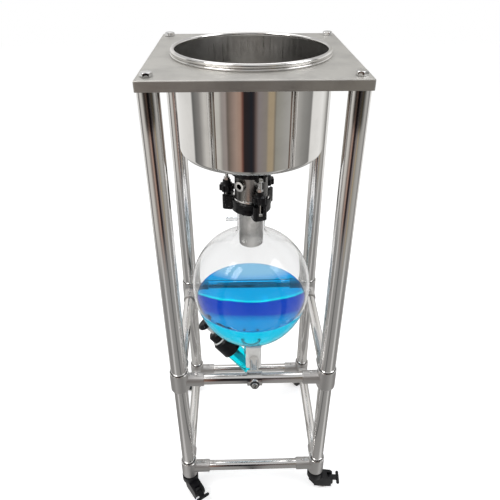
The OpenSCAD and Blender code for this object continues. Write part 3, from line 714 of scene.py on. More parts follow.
@dataclass(frozen=True)
class BlueLiquid(Finish):
    """A clear blue liquid, with painted light: deeper in colour towards its surface and lighter at the bottom.

    Attributes:
        cyan: The painted light colour at the bottom, and of a painted light line in the surface's middle.
        azure: The colour between the two others.
        deep: The painted shade of the deep band at the surface's front and back edges.
        pale: The surface's colour at its back.
        bright: The surface's colour in its middle.
        middle: The surface's colour in front of the deep band.
        rear: The painted lighter colour of the liquid's back.
        calm: The painted grey that the liquid's colour takes on in reflections.
        low: The height of the bottom.
        high: The height of the surface.
        skin: The depths between which the wall's colours give way to the surface's.
        turning: How far back the liquid's back begins, and how far back it has its full colour.
        centre: How far back the centre of the surface's bands lies.
        spread: The distances from that centre between which the bands lie.
        wander: How far the bands wander.
        calming: The painted grey's share in a reflection.
        bend: The index of refraction.
        wave: Height in metres of the waves.
    """

    cyan: Colour = (0.0, 0.84, 0.99)
    azure: Colour = (0.0, 0.50, 0.90)
    deep: Colour = (0.0, 0.004, 0.30)
    pale: Colour = (0.30, 0.56, 0.80)
    bright: Colour = (0.0, 0.24, 0.74)
    middle: Colour = (0.0, 0.12, 0.58)
    rear: Colour = (0.24, 0.58, 0.84)
    calm: Colour = (0.56, 0.60, 0.62)
    low: float = 0.50
    high: float = 0.7185
    skin: tuple[float, float] = (0.0045, 0.0040)
    turning: tuple[float, float] = (0.06, 0.16)
    centre: float = 0.35
    spread: tuple[float, float] = (0.165, 0.565)
    wander: float = 0.03
    calming: float = 0.9
    bend: float = 1.05
    wave: float = 0.0012

    def wire(self, bench: NodeBench, spot: Socket) -> Socket:
        """Wires a tinted transmission: painted light at the bottom, a painted dark band across the surface's front.
        """
        parts = bench.add("ShaderNodeSeparateXYZ", {"Vector": spot}).outputs
        # Painted light: the wall's blue is lighter at the bottom and at the back.
        wall = bench.ramp(bench.remap(parts["Z"], self.low, self.high), [
            (0.0, self.cyan), (0.45, self.cyan), (0.85, self.azure), (1.0, self.azure)])
        wall = bench.mix(bench.remap(parts["Y"], *self.turning), wall, (*self.rear, 1.0))
        away = bench.vector("DISTANCE", "Value", {0: spot, 1: (0.0, self.centre, self.high)})
        reach = bench.math("MULTIPLY_ADD", bench.noise(spot, 9.0, 2.0), self.wander, away)
        # Painted light and shade on the surface: bands by the distance from a point behind it, with a painted light
        # line.
        top = bench.ramp(bench.remap(reach, *self.spread), [
            (0.0, self.pale), (0.20, self.pale), (0.30, self.bright), (0.56, self.bright), (0.585, self.cyan),
            (0.60, self.deep), (0.76, self.deep), (0.84, self.middle), (1.0, self.middle)])
        surface = bench.remap(parts["Z"], *(self.high - depth for depth in self.skin))
        colour = bench.mix(surface, wall, top)
        # Painted reflection: seen in a reflection, the liquid's colour gives way to a painted grey.
        mirrored = bench.math("MINIMUM", bench.add("ShaderNodeLightPath").outputs["Glossy Depth"], self.calming)
        return bench.principled({
            "Base Color": bench.mix(mirrored, colour, (*self.calm, 1.0)), "Metallic": 0.0, "Roughness": 0.0,
            "IOR": self.bend, "Transmission Weight": 1.0,
            "Normal": bench.bump(bench.noise(spot, 11.0, 2.0), self.wave)})


MIRROR_STEEL = Steel("mirror_steel", "mirror_steel", smooth=0.045, rough=0.075)
BOWL_STEEL = Steel("bowl_steel", "mirror_steel", smooth=0.02, rough=0.035, ripple=0.0006)
# The bowl's inside carries painted shade towards its sides.
INNER_STEEL = Steel("inner_steel", "mirror_steel", tone=(0.74, 0.725, 0.70), worn=(0.58, 0.565, 0.545), smooth=0.14,
                    rough=0.22, grain=0.00008, brush=(1.0, 1.0, 0.02), grain_scale=260.0, shade=0.62)
SATIN_STEEL = Steel("satin_steel", "satin_steel", tone=(0.70, 0.685, 0.665), worn=(0.66, 0.645, 0.625), smooth=0.26,
                    rough=0.34, grain=0.00003, brush=(1.0, 0.03, 1.0), grain_scale=500.0)
PLATE_STEEL = Steel("plate_steel", "satin_steel", tone=(0.55, 0.538, 0.51), worn=(0.47, 0.46, 0.438), smooth=0.28,
                    rough=0.34, grain=0.00003, brush=(0.03, 1.0, 1.0), grain_scale=600.0)
CAST_STEEL = Steel("cast_steel", "cast_steel", tone=(0.62, 0.61, 0.60), worn=(0.50, 0.49, 0.48), smooth=0.24,
                   rough=0.36, grain=0.00012, grain_scale=700.0)
# The spool carries painted shade towards its sides, which leaves a light band in its middle.
SPOOL_STEEL = Steel("spool_steel", "satin_steel", tone=(0.70, 0.685, 0.665), worn=(0.60, 0.585, 0.565), smooth=0.07,
                    rough=0.12, grain=0.00002, brush=(1.0, 1.0, 0.03), grain_scale=500.0, shade=0.85, reach=0.036)
# Near-white steel: a real chrome ring on the wheels, and painted highlight on collar tops and spool flanges.
HIGHLIGHT_AND_CHROME_STEEL = Steel("rim_steel", "cast_steel", tone=(0.97, 0.965, 0.955), worn=(0.94, 0.935, 0.925), smooth=0.1,
                  rough=0.2)
BOLT_STEEL = Steel("bolt_steel", "bolt_steel", tone=(0.74, 0.73, 0.72), smooth=0.10, rough=0.18, grain=0.00002)
# The drip pipe carries painted shade towards its sides.
PIPE_STEEL = Steel("pipe_steel", "satin_steel", tone=(0.60, 0.585, 0.565), worn=(0.28, 0.27, 0.255), smooth=0.12,
                   rough=0.18, grain=0.0012, brush=(1.0, 1.0, 0.02), grain_scale=170.0, shade=0.65, reach=0.034)
CLAMP_COAT = Moulding("clamp_coat", "black_clamp", tone=(0.004, 0.004, 0.005), worn=(0.009, 0.009, 0.010),
                      smooth=0.16, rough=0.28, grain=0.00006, grain_scale=700.0, shine=0.28)
KNOB_PLASTIC = Moulding("knob_plastic", "black_knob", tone=(0.004, 0.004, 0.006), worn=(0.009, 0.009, 0.010),
                        smooth=0.24, rough=0.36, shine=0.28)
CAP_PLASTIC = Moulding("cap_plastic", "black_cap", tone=(0.004, 0.005, 0.007), worn=(0.010, 0.010, 0.012),
                       smooth=0.26, rough=0.38, shine=0.28)
WASHER_RUBBER = Moulding("washer_rubber", "black_rubber", smooth=0.55, rough=0.7)
CASTER_NYLON = Moulding("caster_nylon", "caster_black", tone=(0.005, 0.005, 0.007), worn=(0.012, 0.012, 0.013),
                        smooth=0.3, rough=0.42, grain=0.00008, grain_scale=900.0, shine=0.28)
TREAD_RUBBER = Moulding("tread_rubber", "caster_wheel", tone=(0.045, 0.045, 0.048), worn=(0.07, 0.07, 0.072),
                        smooth=0.45, rough=0.6, grain=0.00008)
SEAL_PLASTIC = Moulding("seal_plastic", "white_seal", tone=(0.82, 0.82, 0.80), worn=(0.76, 0.76, 0.74))
SADDLE_SILICONE = Moulding("saddle_silicone", "white_silicone", tone=(0.84, 0.84, 0.82), worn=(0.78, 0.78, 0.76),
                           inner_glow=0.35)
FLASK_GLASS = ClearGlass("flask_glass", "clear_glass")
FILTRATE_BLUE = BlueLiquid("filtrate_blue", "blue_liquid")


def copies_on(bench: NodeBench, template: Value, points: Value, bearing: Value) -> Socket:
    """Stands a copy of a template on each point, turned to its bearing.

    Args:
        bench: The tree that is being wired.
        template: The socket that gives the template.
        points: The socket that gives the points.
        bearing: The socket that gives each bearing in radians.

    Returns:
        The copies as real geometry.
    """
    shape = bench.add("GeometryNodeObjectInfo", {"Object": template})
    copies = bench.add("GeometryNodeInstanceOnPoints", {
        "Points": points, "Instance": shape.outputs["Geometry"], "Rotation": bench.upright(bearing)})
    real = bench.add("GeometryNodeRealizeInstances", {"Geometry": copies.outputs["Instances"]})
    return real.outputs["Geometry"]


def dress(bench: NodeBench, geometry: Value, finish: Value, result: Socket) -> None:
    """Sets the finish on a tree's geometry and hands it out.

    Args:
        bench: The tree that is being wired.
        geometry: The geometry.
        finish: The socket that gives the finish.
        result: The socket that takes the dressed geometry.
    """
    dressed = bench.add("GeometryNodeSetMaterial", {"Geometry": geometry, "Material": finish})
    bench.tree.links.new(dressed.outputs["Geometry"], result)


def ring_tree() -> bpy.types.NodeTree:
    """Returns the Geometry Nodes tree that sets copies of a template in a ring round a core."""
    name = "ring_round_core"
    if name in bpy.data.node_groups:
        return bpy.data.node_groups[name]
    bench, given, sink = fresh_tree(name, "GeometryNodeTree", (
        ("Core", "Geometry"), ("Template", "Object"), ("Count", "Int"), ("Radius", "Float"), ("Height", "Float"),
        ("First Bearing", "Float"), ("Finish", "Material")), (("Result", "Geometry"),))
    circle = bench.add("GeometryNodeMeshCircle", {"Vertices": given["Count"], "Radius": given["Radius"]})
    number = bench.add("GeometryNodeInputIndex").outputs["Index"]
    bearing = bench.math("MULTIPLY", number, bench.math("DIVIDE", 2 * math.pi, given["Count"]))
    placed = bench.add("GeometryNodeTransform", {
        "Geometry": copies_on(bench, given["Template"], circle.outputs["Mesh"], bearing),
        "Translation": bench.upright(given["Height"]), "Rotation": bench.upright(given["First Bearing"])})
    both = bench.add("GeometryNodeJoinGeometry", {"Geometry": placed.outputs["Geometry"]})
    bench.tree.links.new(given["Core"], both.inputs["Geometry"])
    dress(bench, both.outputs["Geometry"], given["Finish"], sink["Result"])
    return bench.tree


def places_tree() -> bpy.types.NodeTree:
    """Returns the Geometry Nodes tree that stands a copy of a template on each point of a mesh."""
    name = "copies_at_places"
    if name in bpy.data.node_groups:
        return bpy.data.node_groups[name]
    bench, given, sink = fresh_tree(name, "GeometryNodeTree", (
        ("Places", "Geometry"), ("Template", "Object"), ("Turn Spread", "Float"), ("Seed", "Int"),
        ("Finish", "Material")), (("Result", "Geometry"),))
    chance = bench.add("FunctionNodeRandomValue", {"Min": 0.0, "Max": given["Turn Spread"], "Seed": given["Seed"]},
                       data_type="FLOAT")
    bearing = next(o for o in chance.outputs if o.type == "VALUE" and o.enabled)
    dress(bench, copies_on(bench, given["Template"], given["Places"], bearing), given["Finish"], sink["Result"])
    return bench.tree


def run_tree(core: bpy.types.Object, tree: bpy.types.NodeTree, values: dict[str, object],
             template: bpy.types.Object, place: Matrix = Matrix()) -> None:
    """Runs a Geometry Nodes tree on an object and keeps the result as its plain mesh.

    Args:
        core: The object that gives the tree its geometry.
        tree: The tree.
        values: The tree's inputs by name.
        template: The object that the tree copies, which is removed afterwards.
        place: Where the result stands.
    """
    modifier = core.modifiers.new(tree.name, "NODES")
    modifier.node_group = tree
    for item in tree.interface.items_tree:
        if item.item_type == "SOCKET" and item.in_out == "INPUT" and item.name in values:
            modifier[item.identifier] = values[item.name]
    mesh = baked(core)
    mesh.transform(place)
    core.data = mesh
    bpy.data.objects.remove(template)


def stand_bolts(bolt: Draft, sharp: float, spots: Sequence[Vector], spread: float, seed: int, name: str,
                node: str) -> None:
    """Stands a bolt on each of several spots, each turned by its own chance.

    Args:
        bolt: The bolt's draft.
        sharp: The angle in degrees above which its edges stay sharp.
        spots: Where the bolts stand.
        spread: The largest turn in radians.
        seed: The seed of the turns.
        name: The new piece's name.
        node: The CAD node that it stands for.
    """
    template = bolt.loose(f"{name}_template", sharp)
    places = Draft()
    for spot in spots:
        places.bm.verts.new(spot)
    holder = places.loose(name)
    run_tree(holder, places_tree(), {"Template": template, "Turn Spread": spread, "Seed": seed,
                                     "Finish": BOLT_STEEL.material()}, template)
    settle(holder, BOLT_STEEL, "stand", [node])


def hollows(count: int, centre: float, radius: float, low: float, high: float) -> RadiusRule:
    """Makes a rule that cuts round hollows into a turned shape.

    Args:
        count: The number of hollows round the axis.
        centre: The distance of each hollow's centre from the axis.
        radius: The radius of each hollow.
        low: The height at which the hollows start.
        high: The height at which they end.

    Returns:
        A rule for Draft.turned.
    """
    def rule(angle: float, r: float, z: float) -> float:
        """The radius that is left at an angle and a height."""
        if not low <= z <= high:
            return r
        pitch = 2 * math.pi / count
        off = (angle + pitch / 2) % pitch - pitch / 2
        side = centre * math.sin(off)
        if abs(side) >= radius:
            return r
        return min(r, centre * math.cos(off) - math.sqrt(radius * radius - side * side))

    return rule


def off_flat(angle: float) -> float:
    """How far a bearing lies from the middle of a hexagon's nearest flat, in radians."""
    return (angle + math.radians(30)) % math.radians(60) - math.radians(30)


def socket_rule(radius: float, low: float) -> RadiusRule:
    """Makes a rule that gives a round socket its six sides.

    Args:
        radius: The largest radius that belongs to the socket.
        low: The height at which the socket may start.

    Returns:
        A rule for Draft.turned.
    """
    def rule(angle: float, r: float, z: float) -> float:
        """The radius at an angle and a height."""
        if z < low or r > radius or r < 0.0001:
            return r
        return r * math.cos(math.radians(30)) / math.cos(off_flat(angle))

    return rule


@dataclass
class TopPlate:
    """The folded top plate and the four bolts that hold it.

    Attributes:
        width: Left to right.
        depth: Front to back.
        sheet: Thickness of the sheet.
        skirt: Height of the folded skirt.
        fold: Radius of the folds.
        hole: Radius of the bowl's hole.
        head_flats: Width across the flats of a bolt head.
        head_height: Height of a bolt head.
        shank: Radius of a bolt.
    """

    width: float = 0.500
    depth: float = 0.530
    sheet: float = 0.002
    skirt: float = 0.024
    fold: float = 0.003
    hole: float = 0.196
    head_flats: float = 0.024
    head_height: float = 0.010
    shank: float = 0.006

    def outline(self, inset: float) -> list[Point]:
        """The plate's outline at an inset, with the same number of points at any inset."""
        middle, radius = max(self.fold, inset), max(self.fold - inset, 0.0001)
        hx, hy = self.width / 2 - middle, self.depth / 2 - middle
        cuts = 60
        points: list[Point] = []
        corners = [arc(sx * hx, sy * hy, radius, start, start + 90, 6)
                   for sx, sy, start in ((1, 1, 0), (-1, 1, 90), (-1, -1, 180), (1, -1, 270))]
        for here, ahead in zip(corners, corners[1:] + corners[:1]):
            points += here
            (x0, y0), (x1, y1) = here[-1], ahead[0]
            points += [(x0 + (x1 - x0) * k / cuts, y0 + (y1 - y0) * k / cuts) for k in range(1, cuts)]
        return points

    def build(self) -> None:
        """Builds the plate and its bolts."""
        def ring(inset: float, drop: float) -> list[Vector]:
            """The outline at an inset and a depth."""
            return [Vector((x, y, below(drop))) for x, y in self.outline(inset)]

        def circle(radius: float, drop: float) -> list[Vector]:
            """The hole's edge, one point for each point of the outline."""
            bearings = [math.atan2(y, x) for x, y in self.outline(0.0)]
            return [Vector((radius * math.cos(a), radius * math.sin(a), below(drop))) for a in bearings]

        sheet, skirt = self.sheet, self.skirt
        fold = [ring(self.fold * (1 - math.sin(a)), self.fold * (1 - math.cos(a)))
                for a in map(math.radians, range(0, 91, 15))]
        rings = [circle(self.hole + 0.0004, 0.0), ring(self.fold + 0.0015, 0.0), *fold,
                 ring(0.0, self.fold + 0.001), ring(0.0, skirt - 0.0005), ring(0.0005, skirt), ring(sheet, skirt),
                 ring(sheet, sheet + 0.001), ring(sheet + 0.001, sheet), circle(self.hole, sheet),
                 circle(self.hole, 0.0004)]
        Draft().loops(rings, close=True).piece("dressed_top_plate", PLATE_STEEL, nodes=["top_plate"])
        self.bolts()

    def bolts(self) -> None:
        """Stands a chamfered hexagon bolt on each corner."""
        half = self.head_flats / 2
        corner = half / math.cos(math.radians(30))

        def hexagon(angle: float, r: float, z: float) -> float:
            """Draws the turned head in to a hexagon."""
            return min(r, half / math.cos(off_flat(angle))) if z > 0.0001 else r

        drop, shank, top = self.skirt + 0.006, self.shank, self.head_height
        bolt = Draft().turned([
            (0.0, -drop), (shank - 0.001, -drop), (shank, 0.001 - drop), (shank, -0.0001), (shank, 0.0003),
            (half - 0.0006, 0.0003), (corner, 0.0008), (corner, top - 0.0022), (half + 0.0004, top - 0.0006),
            (half - 0.0008, top), (half - 0.0035, top), (0.0, top - 0.0004)], steps=96, rule=hexagon)
        spots = [post.spot + Vector((0, 0, PLATE_TOP)) for post in Corner]
        stand_bolts(bolt, 28, spots, 0.9, 4, "dressed_plate_bolts", "plate_bolts")


@dataclass
class TubeFrame:
    """The posts, bars, connectors and set screws.

    Attributes:
        upper_radius: Radius of the upper tubes.
        lower_radius: Radius of the lower tubes.
        bar_radius: Radius of the cross bars.
        wall: Wall of the tubes.
        middle: Height of the middle bars.
        bottom: Height of the bottom bars.
        bar_inset: How far a bar's end lies from the post's centre.
        rim: Height of a connector's rim over its bars.
        parting: How far a post's tubes stop short of the middle bars' height.
        stub: How far a lower tube reaches below the bottom bars' height.
        plug: Radius of the plug in an upper tube's head.
        plug_rise: How far the plug stands over the tube's end.
        plug_hang: How far it hangs below the tube's end.
        thread: Radius of the plug's bore.
        screw_middle: Distance of a middle sleeve's set screw from the post's centre.
        screw_bottom: Distance of a bottom sleeve's set screw from the post's centre.
    """

    upper_radius: float = 0.025
    lower_radius: float = 0.0215
    bar_radius: float = 0.017
    wall: float = 0.002
    middle: float = 0.571
    bottom: float = 0.128
    bar_inset: float = 0.030
    rim: float = 0.0375
    parting: float = 0.006
    stub: float = 0.0175
    plug: float = 0.016
    plug_rise: float = 0.022
    plug_hang: float = 0.009
    thread: float = 0.0063
    screw_middle: float = 0.051
    screw_bottom: float = 0.049

    def build(self) -> None:
        """Builds the frame's pieces."""
        for corner in Corner:
            self.posts(corner)
            for level, label in ((self.middle, "middle"), (self.bottom, "bottom")):
                node = f"{label}_collar_{corner.short}"
                # The collars' top faces above this height take a painted highlight.
                brim = level + self.rim - 0.001
                second_finish(refined_copy(node, f"cast_{node}", CAST_STEEL), HIGHLIGHT_AND_CHROME_STEEL,
                              lambda face: face.normal.z > 0.9 and face.center.z > brim)
        for level, label in ((self.middle, "middle"), (self.bottom, "bottom")):
            self.bars(level, label)
        self.screws()

    def posts(self, corner: Corner) -> None:
        """Builds the two tubes of a post."""
        place = Matrix.Translation(corner.spot)
        outer, inner = self.upper_radius, self.upper_radius - self.wall
        foot, top = self.middle + self.parting, PLATE_TOP - TopPlate.skirt
        high, deep = top + self.plug_rise, top - self.plug_hang
        upper = [(inner, foot), (outer, foot), (outer, top), (self.plug, top), (self.plug, high),
                 (self.thread, high), (self.thread, deep), (inner, deep)]
        outer, inner = self.lower_radius, self.lower_radius - self.wall
        foot, top = self.bottom - self.stub, self.middle - self.parting
        lower = [(inner, foot), (outer, foot), (outer, top), (inner, top)]
        for label, profile, ease in (("upper", upper, 0.0006), ("lower", lower, 0.0005)):
            Draft().turned(softened(profile, ease), place, 96).piece(
                f"polished_{label}_post_{corner.short}", MIRROR_STEEL, nodes=[f"{label}_post_{corner.short}"])

    def bars(self, level: float, label: str) -> None:
        """Builds the four bars of a level."""
        outer, inner = self.bar_radius, self.bar_radius - self.wall
        for side, x, y, axis, span in (("front", 0, -POST_Y, "Y", POST_X), ("rear", 0, POST_Y, "Y", POST_X),
                                       ("left", -POST_X, 0, "X", POST_Y), ("right", POST_X, 0, "X", POST_Y)):
            half = span - self.bar_inset
            Draft().turned(softened([(inner, -half), (outer, -half), (outer, half), (inner, half)], 0.0005),
                           Matrix.Translation((x, y, level)) @ rotation(90, axis), 80).piece(
                f"polished_{label}_bar_{side}", MIRROR_STEEL, nodes=[f"{label}_bar_{side}"])

    def screws(self) -> None:
        """Sets a socket screw in the top of each connector's sleeve."""
        seat, radius = 0.0202, 0.005
        top = seat + 0.0035
        screw = Draft().turned([
            (0.0, 0.0172), (0.0025, 0.0172), (0.0025, seat), (radius - 0.0003, seat), (radius, seat + 0.0003),
            (radius, top - 0.0005), (radius - 0.0005, top), (0.0030, top), (0.0028, top - 0.0003),
            (0.0028, seat + 0.0015), (0.0, seat + 0.0013)], steps=48, rule=socket_rule(0.0031, 0.0))
        spots = []
        for level, reach in ((self.middle, self.screw_middle), (self.bottom, self.screw_bottom)):
            for corner in Corner:
                sx, sy = corner.signs
                spots += [Vector((sx * (POST_X - reach), sy * POST_Y, level)),
                          Vector((sx * POST_X, sy * (POST_Y - reach), level))]
        stand_bolts(screw, 30, spots, 1.0, 7, "socket_set_screws", "set_screws")


@dataclass
class Casters:
    """The four swivel casters with their brake pedals.

    Attributes:
        trail: Distance from the swivel's axis to the axle.
        radius: Radius of the wheels.
        width: Width of the wheels.
        axle: Radius of the axle.
        bearings: The bearing of each caster in degrees, in the order of the corners.
    """

    trail: float = 0.030
    radius: float = 0.026
    width: float = 0.028
    axle: float = 0.004
    bearings: tuple[float, ...] = (-56.0, -5.0, 175.0, 124.0)

    def build(self) -> None:
        """Builds the forks, wheels and brakes."""
        for corner, bearing in zip(Corner, self.bearings):
            short = corner.short
            for part, body, ease in (("fork", "caster", 0.0007), ("brake", "brake", 0.0005)):
                refined_copy(f"caster_{part}_{short}", f"nylon_{part}_{short}", CASTER_NYLON, f"{body}_{short}", ease)
            self.wheel(corner, math.radians(bearing))

    def wheel(self, corner: Corner, a: float) -> None:
        """Builds a wheel with a crowned tread and a recessed face, at a caster's bearing in radians."""
        centre = corner.spot + Vector((self.trail * math.cos(a), self.trail * math.sin(a), self.radius))
        place = Matrix.Translation(centre) @ Matrix.Rotation(a, 4, "Z") @ rotation(90, "X")
        half, r, bore, edge = self.width / 2, self.radius, self.axle + 0.00005, 0.003
        side = [(bore, half), (bore + 0.005, half), (bore + 0.006, half - edge), (r - 0.008, half - edge),
                (r - 0.006, half), (r - edge, half)]
        outer = side + arc(r - edge, half - edge, edge, 90, 0, 5)[1:]
        profile = outer + [(x, -z) for x, z in reversed(outer)]
        wheel = Draft().turned(softened(profile, 0.0006), place, 96).piece(
            f"rolling_wheel_{corner.short}", TREAD_RUBBER, f"wheel_{corner.short}", [f"caster_wheel_{corner.short}"])
        spin = Vector((math.sin(a), -math.cos(a), 0.0))

        def on_side(face: bpy.types.MeshPolygon) -> bool:
            """Tells whether a face lies in the ring round the wheel's side."""
            arm = face.center - centre
            along = arm.dot(spin)
            return abs(along) > half - 0.0031 and r - 0.0092 < (arm - spin * along).length < r - 0.0031

        second_finish(wheel, HIGHLIGHT_AND_CHROME_STEEL, on_side)


def mm(points: Sequence[Point]) -> list[Point]:
    """Turns points given as radius and depth in millimetres into radius and height in metres."""
    return [(r / 1000, below(d / 1000)) for r, d in points]


@dataclass
class FilterBowl:
    """The bowl, its filter plate, the drip pipe and the outlet spool.

    Attributes:
        radius: Outside radius of the bowl in millimetres.
        wall: Its wall in millimetres.
        depth: Its depth below the plate's top in millimetres.
        corner: Outside radius of its bottom corner in millimetres.
        bead: Radius of the rolled rim in millimetres.
        rim: Height of the rim above the plate in millimetres.
        port_bearing: The vacuum stub's bearing in degrees.
    """

    radius: float = 194.0
    wall: float = 2.5
    depth: float = 250.0
    corner: float = 15.0
    bead: float = 5.5
    rim: float = 16.5
    port_bearing: float = -127.0

    def build(self) -> None:
        """Builds the bowl and the steel pieces under it."""
        self.bowl()
        refined_copy("filter_plate", "perforated_filter_plate", SATIN_STEEL, ease=0.0)
        pipe = mm([(34, 309.5), (52, 309.5), (52, 312.5), (36, 312.5), (36, 555), (34, 555)])
        Draft().turned(softened(pipe, 0.0004), steps=160).piece("steel_drip_pipe", PIPE_STEEL, nodes=["drip_pipe"])
        self.spool()

    def bowl(self) -> None:
        """Builds the bowl with its rolled rim, shoulder, ledge, floor and outlet."""
        inside, out = self.radius - self.wall, self.radius
        rim_centre = self.rim - self.bead
        bead = [(x, -y) for x, y in arc(out + 0.5, rim_centre, self.bead, 237, -78, 22)]
        shoulder = [(x, -y) for x, y in arc(out + 4, 2.5, 2.5, 90, -90, 10)]
        corner = arc(out - self.corner, self.depth - self.corner, self.corner, 0, 90, 14)
        inner_r = self.corner - self.wall
        floor = self.depth - self.wall
        inner_corner = arc(inside - inner_r, floor - inner_r, inner_r, 90, 0, 12)
        profile = (bead + [(out + 1.2, -5.25), (out + 2.0, -5.03)] + shoulder + [(out, 0.3)] + corner
                   + [(41, 250), (40, 251), (40, 299), (41, 300), (51.4, 300), (52, 300.6), (52, 306.4),
                      (51.4, 307), (37.5, 307), (37.5, 249.5), (40, floor)] + inner_corner
                   + [(inside, 221.5), (181.5, 220.5), (181.5, 217.5), (inside, 217.2)])
        bowl = Draft().turned(mm(profile), steps=224).piece("polished_filter_bowl", BOWL_STEEL,
                                                            nodes=["filter_bowl"], sharp=32)

        def within(face: bpy.types.MeshPolygon) -> bool:
            """Tells whether a face lies inside the bowl."""
            reach = math.hypot(face.center.x, face.center.y) * 1000
            return 36 < reach < inside + 0.02 and below(floor / 1000) - 0.0001 < face.center.z < below(-0.002)

        second_finish(bowl, INNER_STEEL, within)

    def spool(self) -> None:
        """Builds the spool between the flanges, with its vacuum stub."""
        bearing = rotation(self.port_bearing, "Z")
        lying = bearing @ Matrix.Translation((0, 0, below(0.346))) @ rotation(90, "Y")
        drum = Draft().turned(softened(mm([
            (37.5, 315), (52, 315), (52, 322), (48, 322), (48, 393), (53.5, 393), (53.5, 400), (45.5, 400),
            (45.5, 322), (37.5, 322)]), 0.0006), steps=144)
        stub = Draft().turned([
            (0.0, 0.0462), (0.015, 0.0462), (0.015, 0.0580), (0.0146, 0.0588), (0.0140, 0.0590), (0.0, 0.0590)],
            lying, 96)
        bore = Draft().turned([
            (0.0, 0.038), (0.008, 0.038), (0.008, 0.0582), (0.0086, 0.0592), (0.0086, 0.07), (0.0, 0.07)], lying, 72)
        spool = joined_solid("spool_work", [drum, stub], [bore]).piece(
            "steel_outlet_spool", SPOOL_STEEL, nodes=["outlet_spool"], sharp=30)
        ahead = bearing @ Vector((1.0, 0.0, 0.0))

        def bright(face: bpy.types.MeshPolygon) -> bool:
            """Tells whether a face lies on a flange or on the stub's mouth, which take a painted highlight."""
            reach = math.hypot(face.center.x, face.center.y)
            flange = reach > 0.0485 and not below(0.3925) < face.center.z < below(0.3225)
            return flange or face.center.dot(ahead) > 0.0578

        second_finish(spool, HIGHLIGHT_AND_CHROME_STEEL, bright)


@dataclass
class ClampCoupling:
    """The clamp rings, gaskets, tie bolts and knobs.

    Attributes:
        tie_radius: Radius of the circle of tie bolts.
        first_tie: Bearing of the first tie bolt in degrees.
        knob_radius: Radius of a knob's hub.
        lobe_radius: Radius of a knob's lobes.
        lobes: Number of lobes.
        knob_height: Height of a knob.
        knob_foot: Depth of a knob's lower end.
        knob_bore: Radius of a knob's bore.
    """

    tie_radius: float = 0.072
    first_tie: float = -72.0
    knob_radius: float = 0.0175
    lobe_radius: float = 0.005
    lobes: int = 8
    knob_height: float = 0.036
    knob_foot: float = 0.387
    knob_bore: float = 0.00505

    def build(self) -> None:
        """Builds the coupling's pieces."""
        for side in ("upper", "lower"):
            refined_copy(f"{side}_clamp_ring", f"coated_{side}_clamp", CLAMP_COAT, ease=0.0012)
        refined_copy("tie_bolts", "bright_tie_bolts", BOLT_STEEL, ease=0.0006)
        self.gaskets()
        for k in range(3):
            self.knob(k)

    def gaskets(self) -> None:
        """Builds the flat seals and the valve's seal."""
        rings = Draft()
        for inner, outer, top, foot in ((37.5, 52, 307, 309.5), (37.5, 52, 312.5, 315), (38.5, 52, 400, 402.5),
                                        (42.8, 52, 412.5, 415.5)):
            rings.turned(softened(mm([(inner, top), (outer, top), (outer, foot), (inner, foot)]), 0.0005),
                         steps=128)
        rings.turned(softened([(VALVE_BORE, 0.164), (0.0315, 0.164), (0.0315, 0.168), (VALVE_BORE, 0.168)], 0.0006),
                     DrainValve.frame(), 96)
        rings.piece("white_seals", SEAL_PLASTIC, nodes=["gaskets"])

    def knob(self, k: int) -> None:
        """Builds a lobed knob: a turned core, with its lobes set round it by the ring tree."""
        a = math.radians(self.first_tie + 120 * k)
        place = Matrix.Translation((self.tie_radius * math.cos(a), self.tie_radius * math.sin(a),
                                    below(self.knob_foot))) @ Matrix.Rotation(a, 4, "Z")
        hub, bore, tall = self.knob_radius, self.knob_bore, self.knob_height
        core = softened([(bore, 0), (hub - 0.004, 0), (hub, 0.005), (hub, tall - 0.014), (hub - 0.005, tall - 0.008),
                         (0.012, tall - 0.008), (0.012, tall), (bore, tall)], 0.0012)
        r = self.lobe_radius
        lobe = [(0.0, 0.0), *arc(r - 0.002, 0.002, 0.002, -90, 0, 4), *arc(r - 0.002, tall - 0.020, 0.002, 0, 90, 4),
                (0.0, tall - 0.018)]
        template = Draft().turned(lobe, steps=24).loose("lobe_template", 50)
        obj = Draft().turned(core, steps=96).loose(f"lobed_knob_{k + 1}")
        run_tree(obj, ring_tree(), {"Template": template, "Count": self.lobes, "Radius": hub, "Height": 0.004,
                                    "First Bearing": math.pi / self.lobes,
                                    "Finish": KNOB_PLASTIC.material()}, template, place)
        settle(obj, KNOB_PLASTIC, f"knob_{k + 1}", [f"clamp_knob_{k + 1}"])


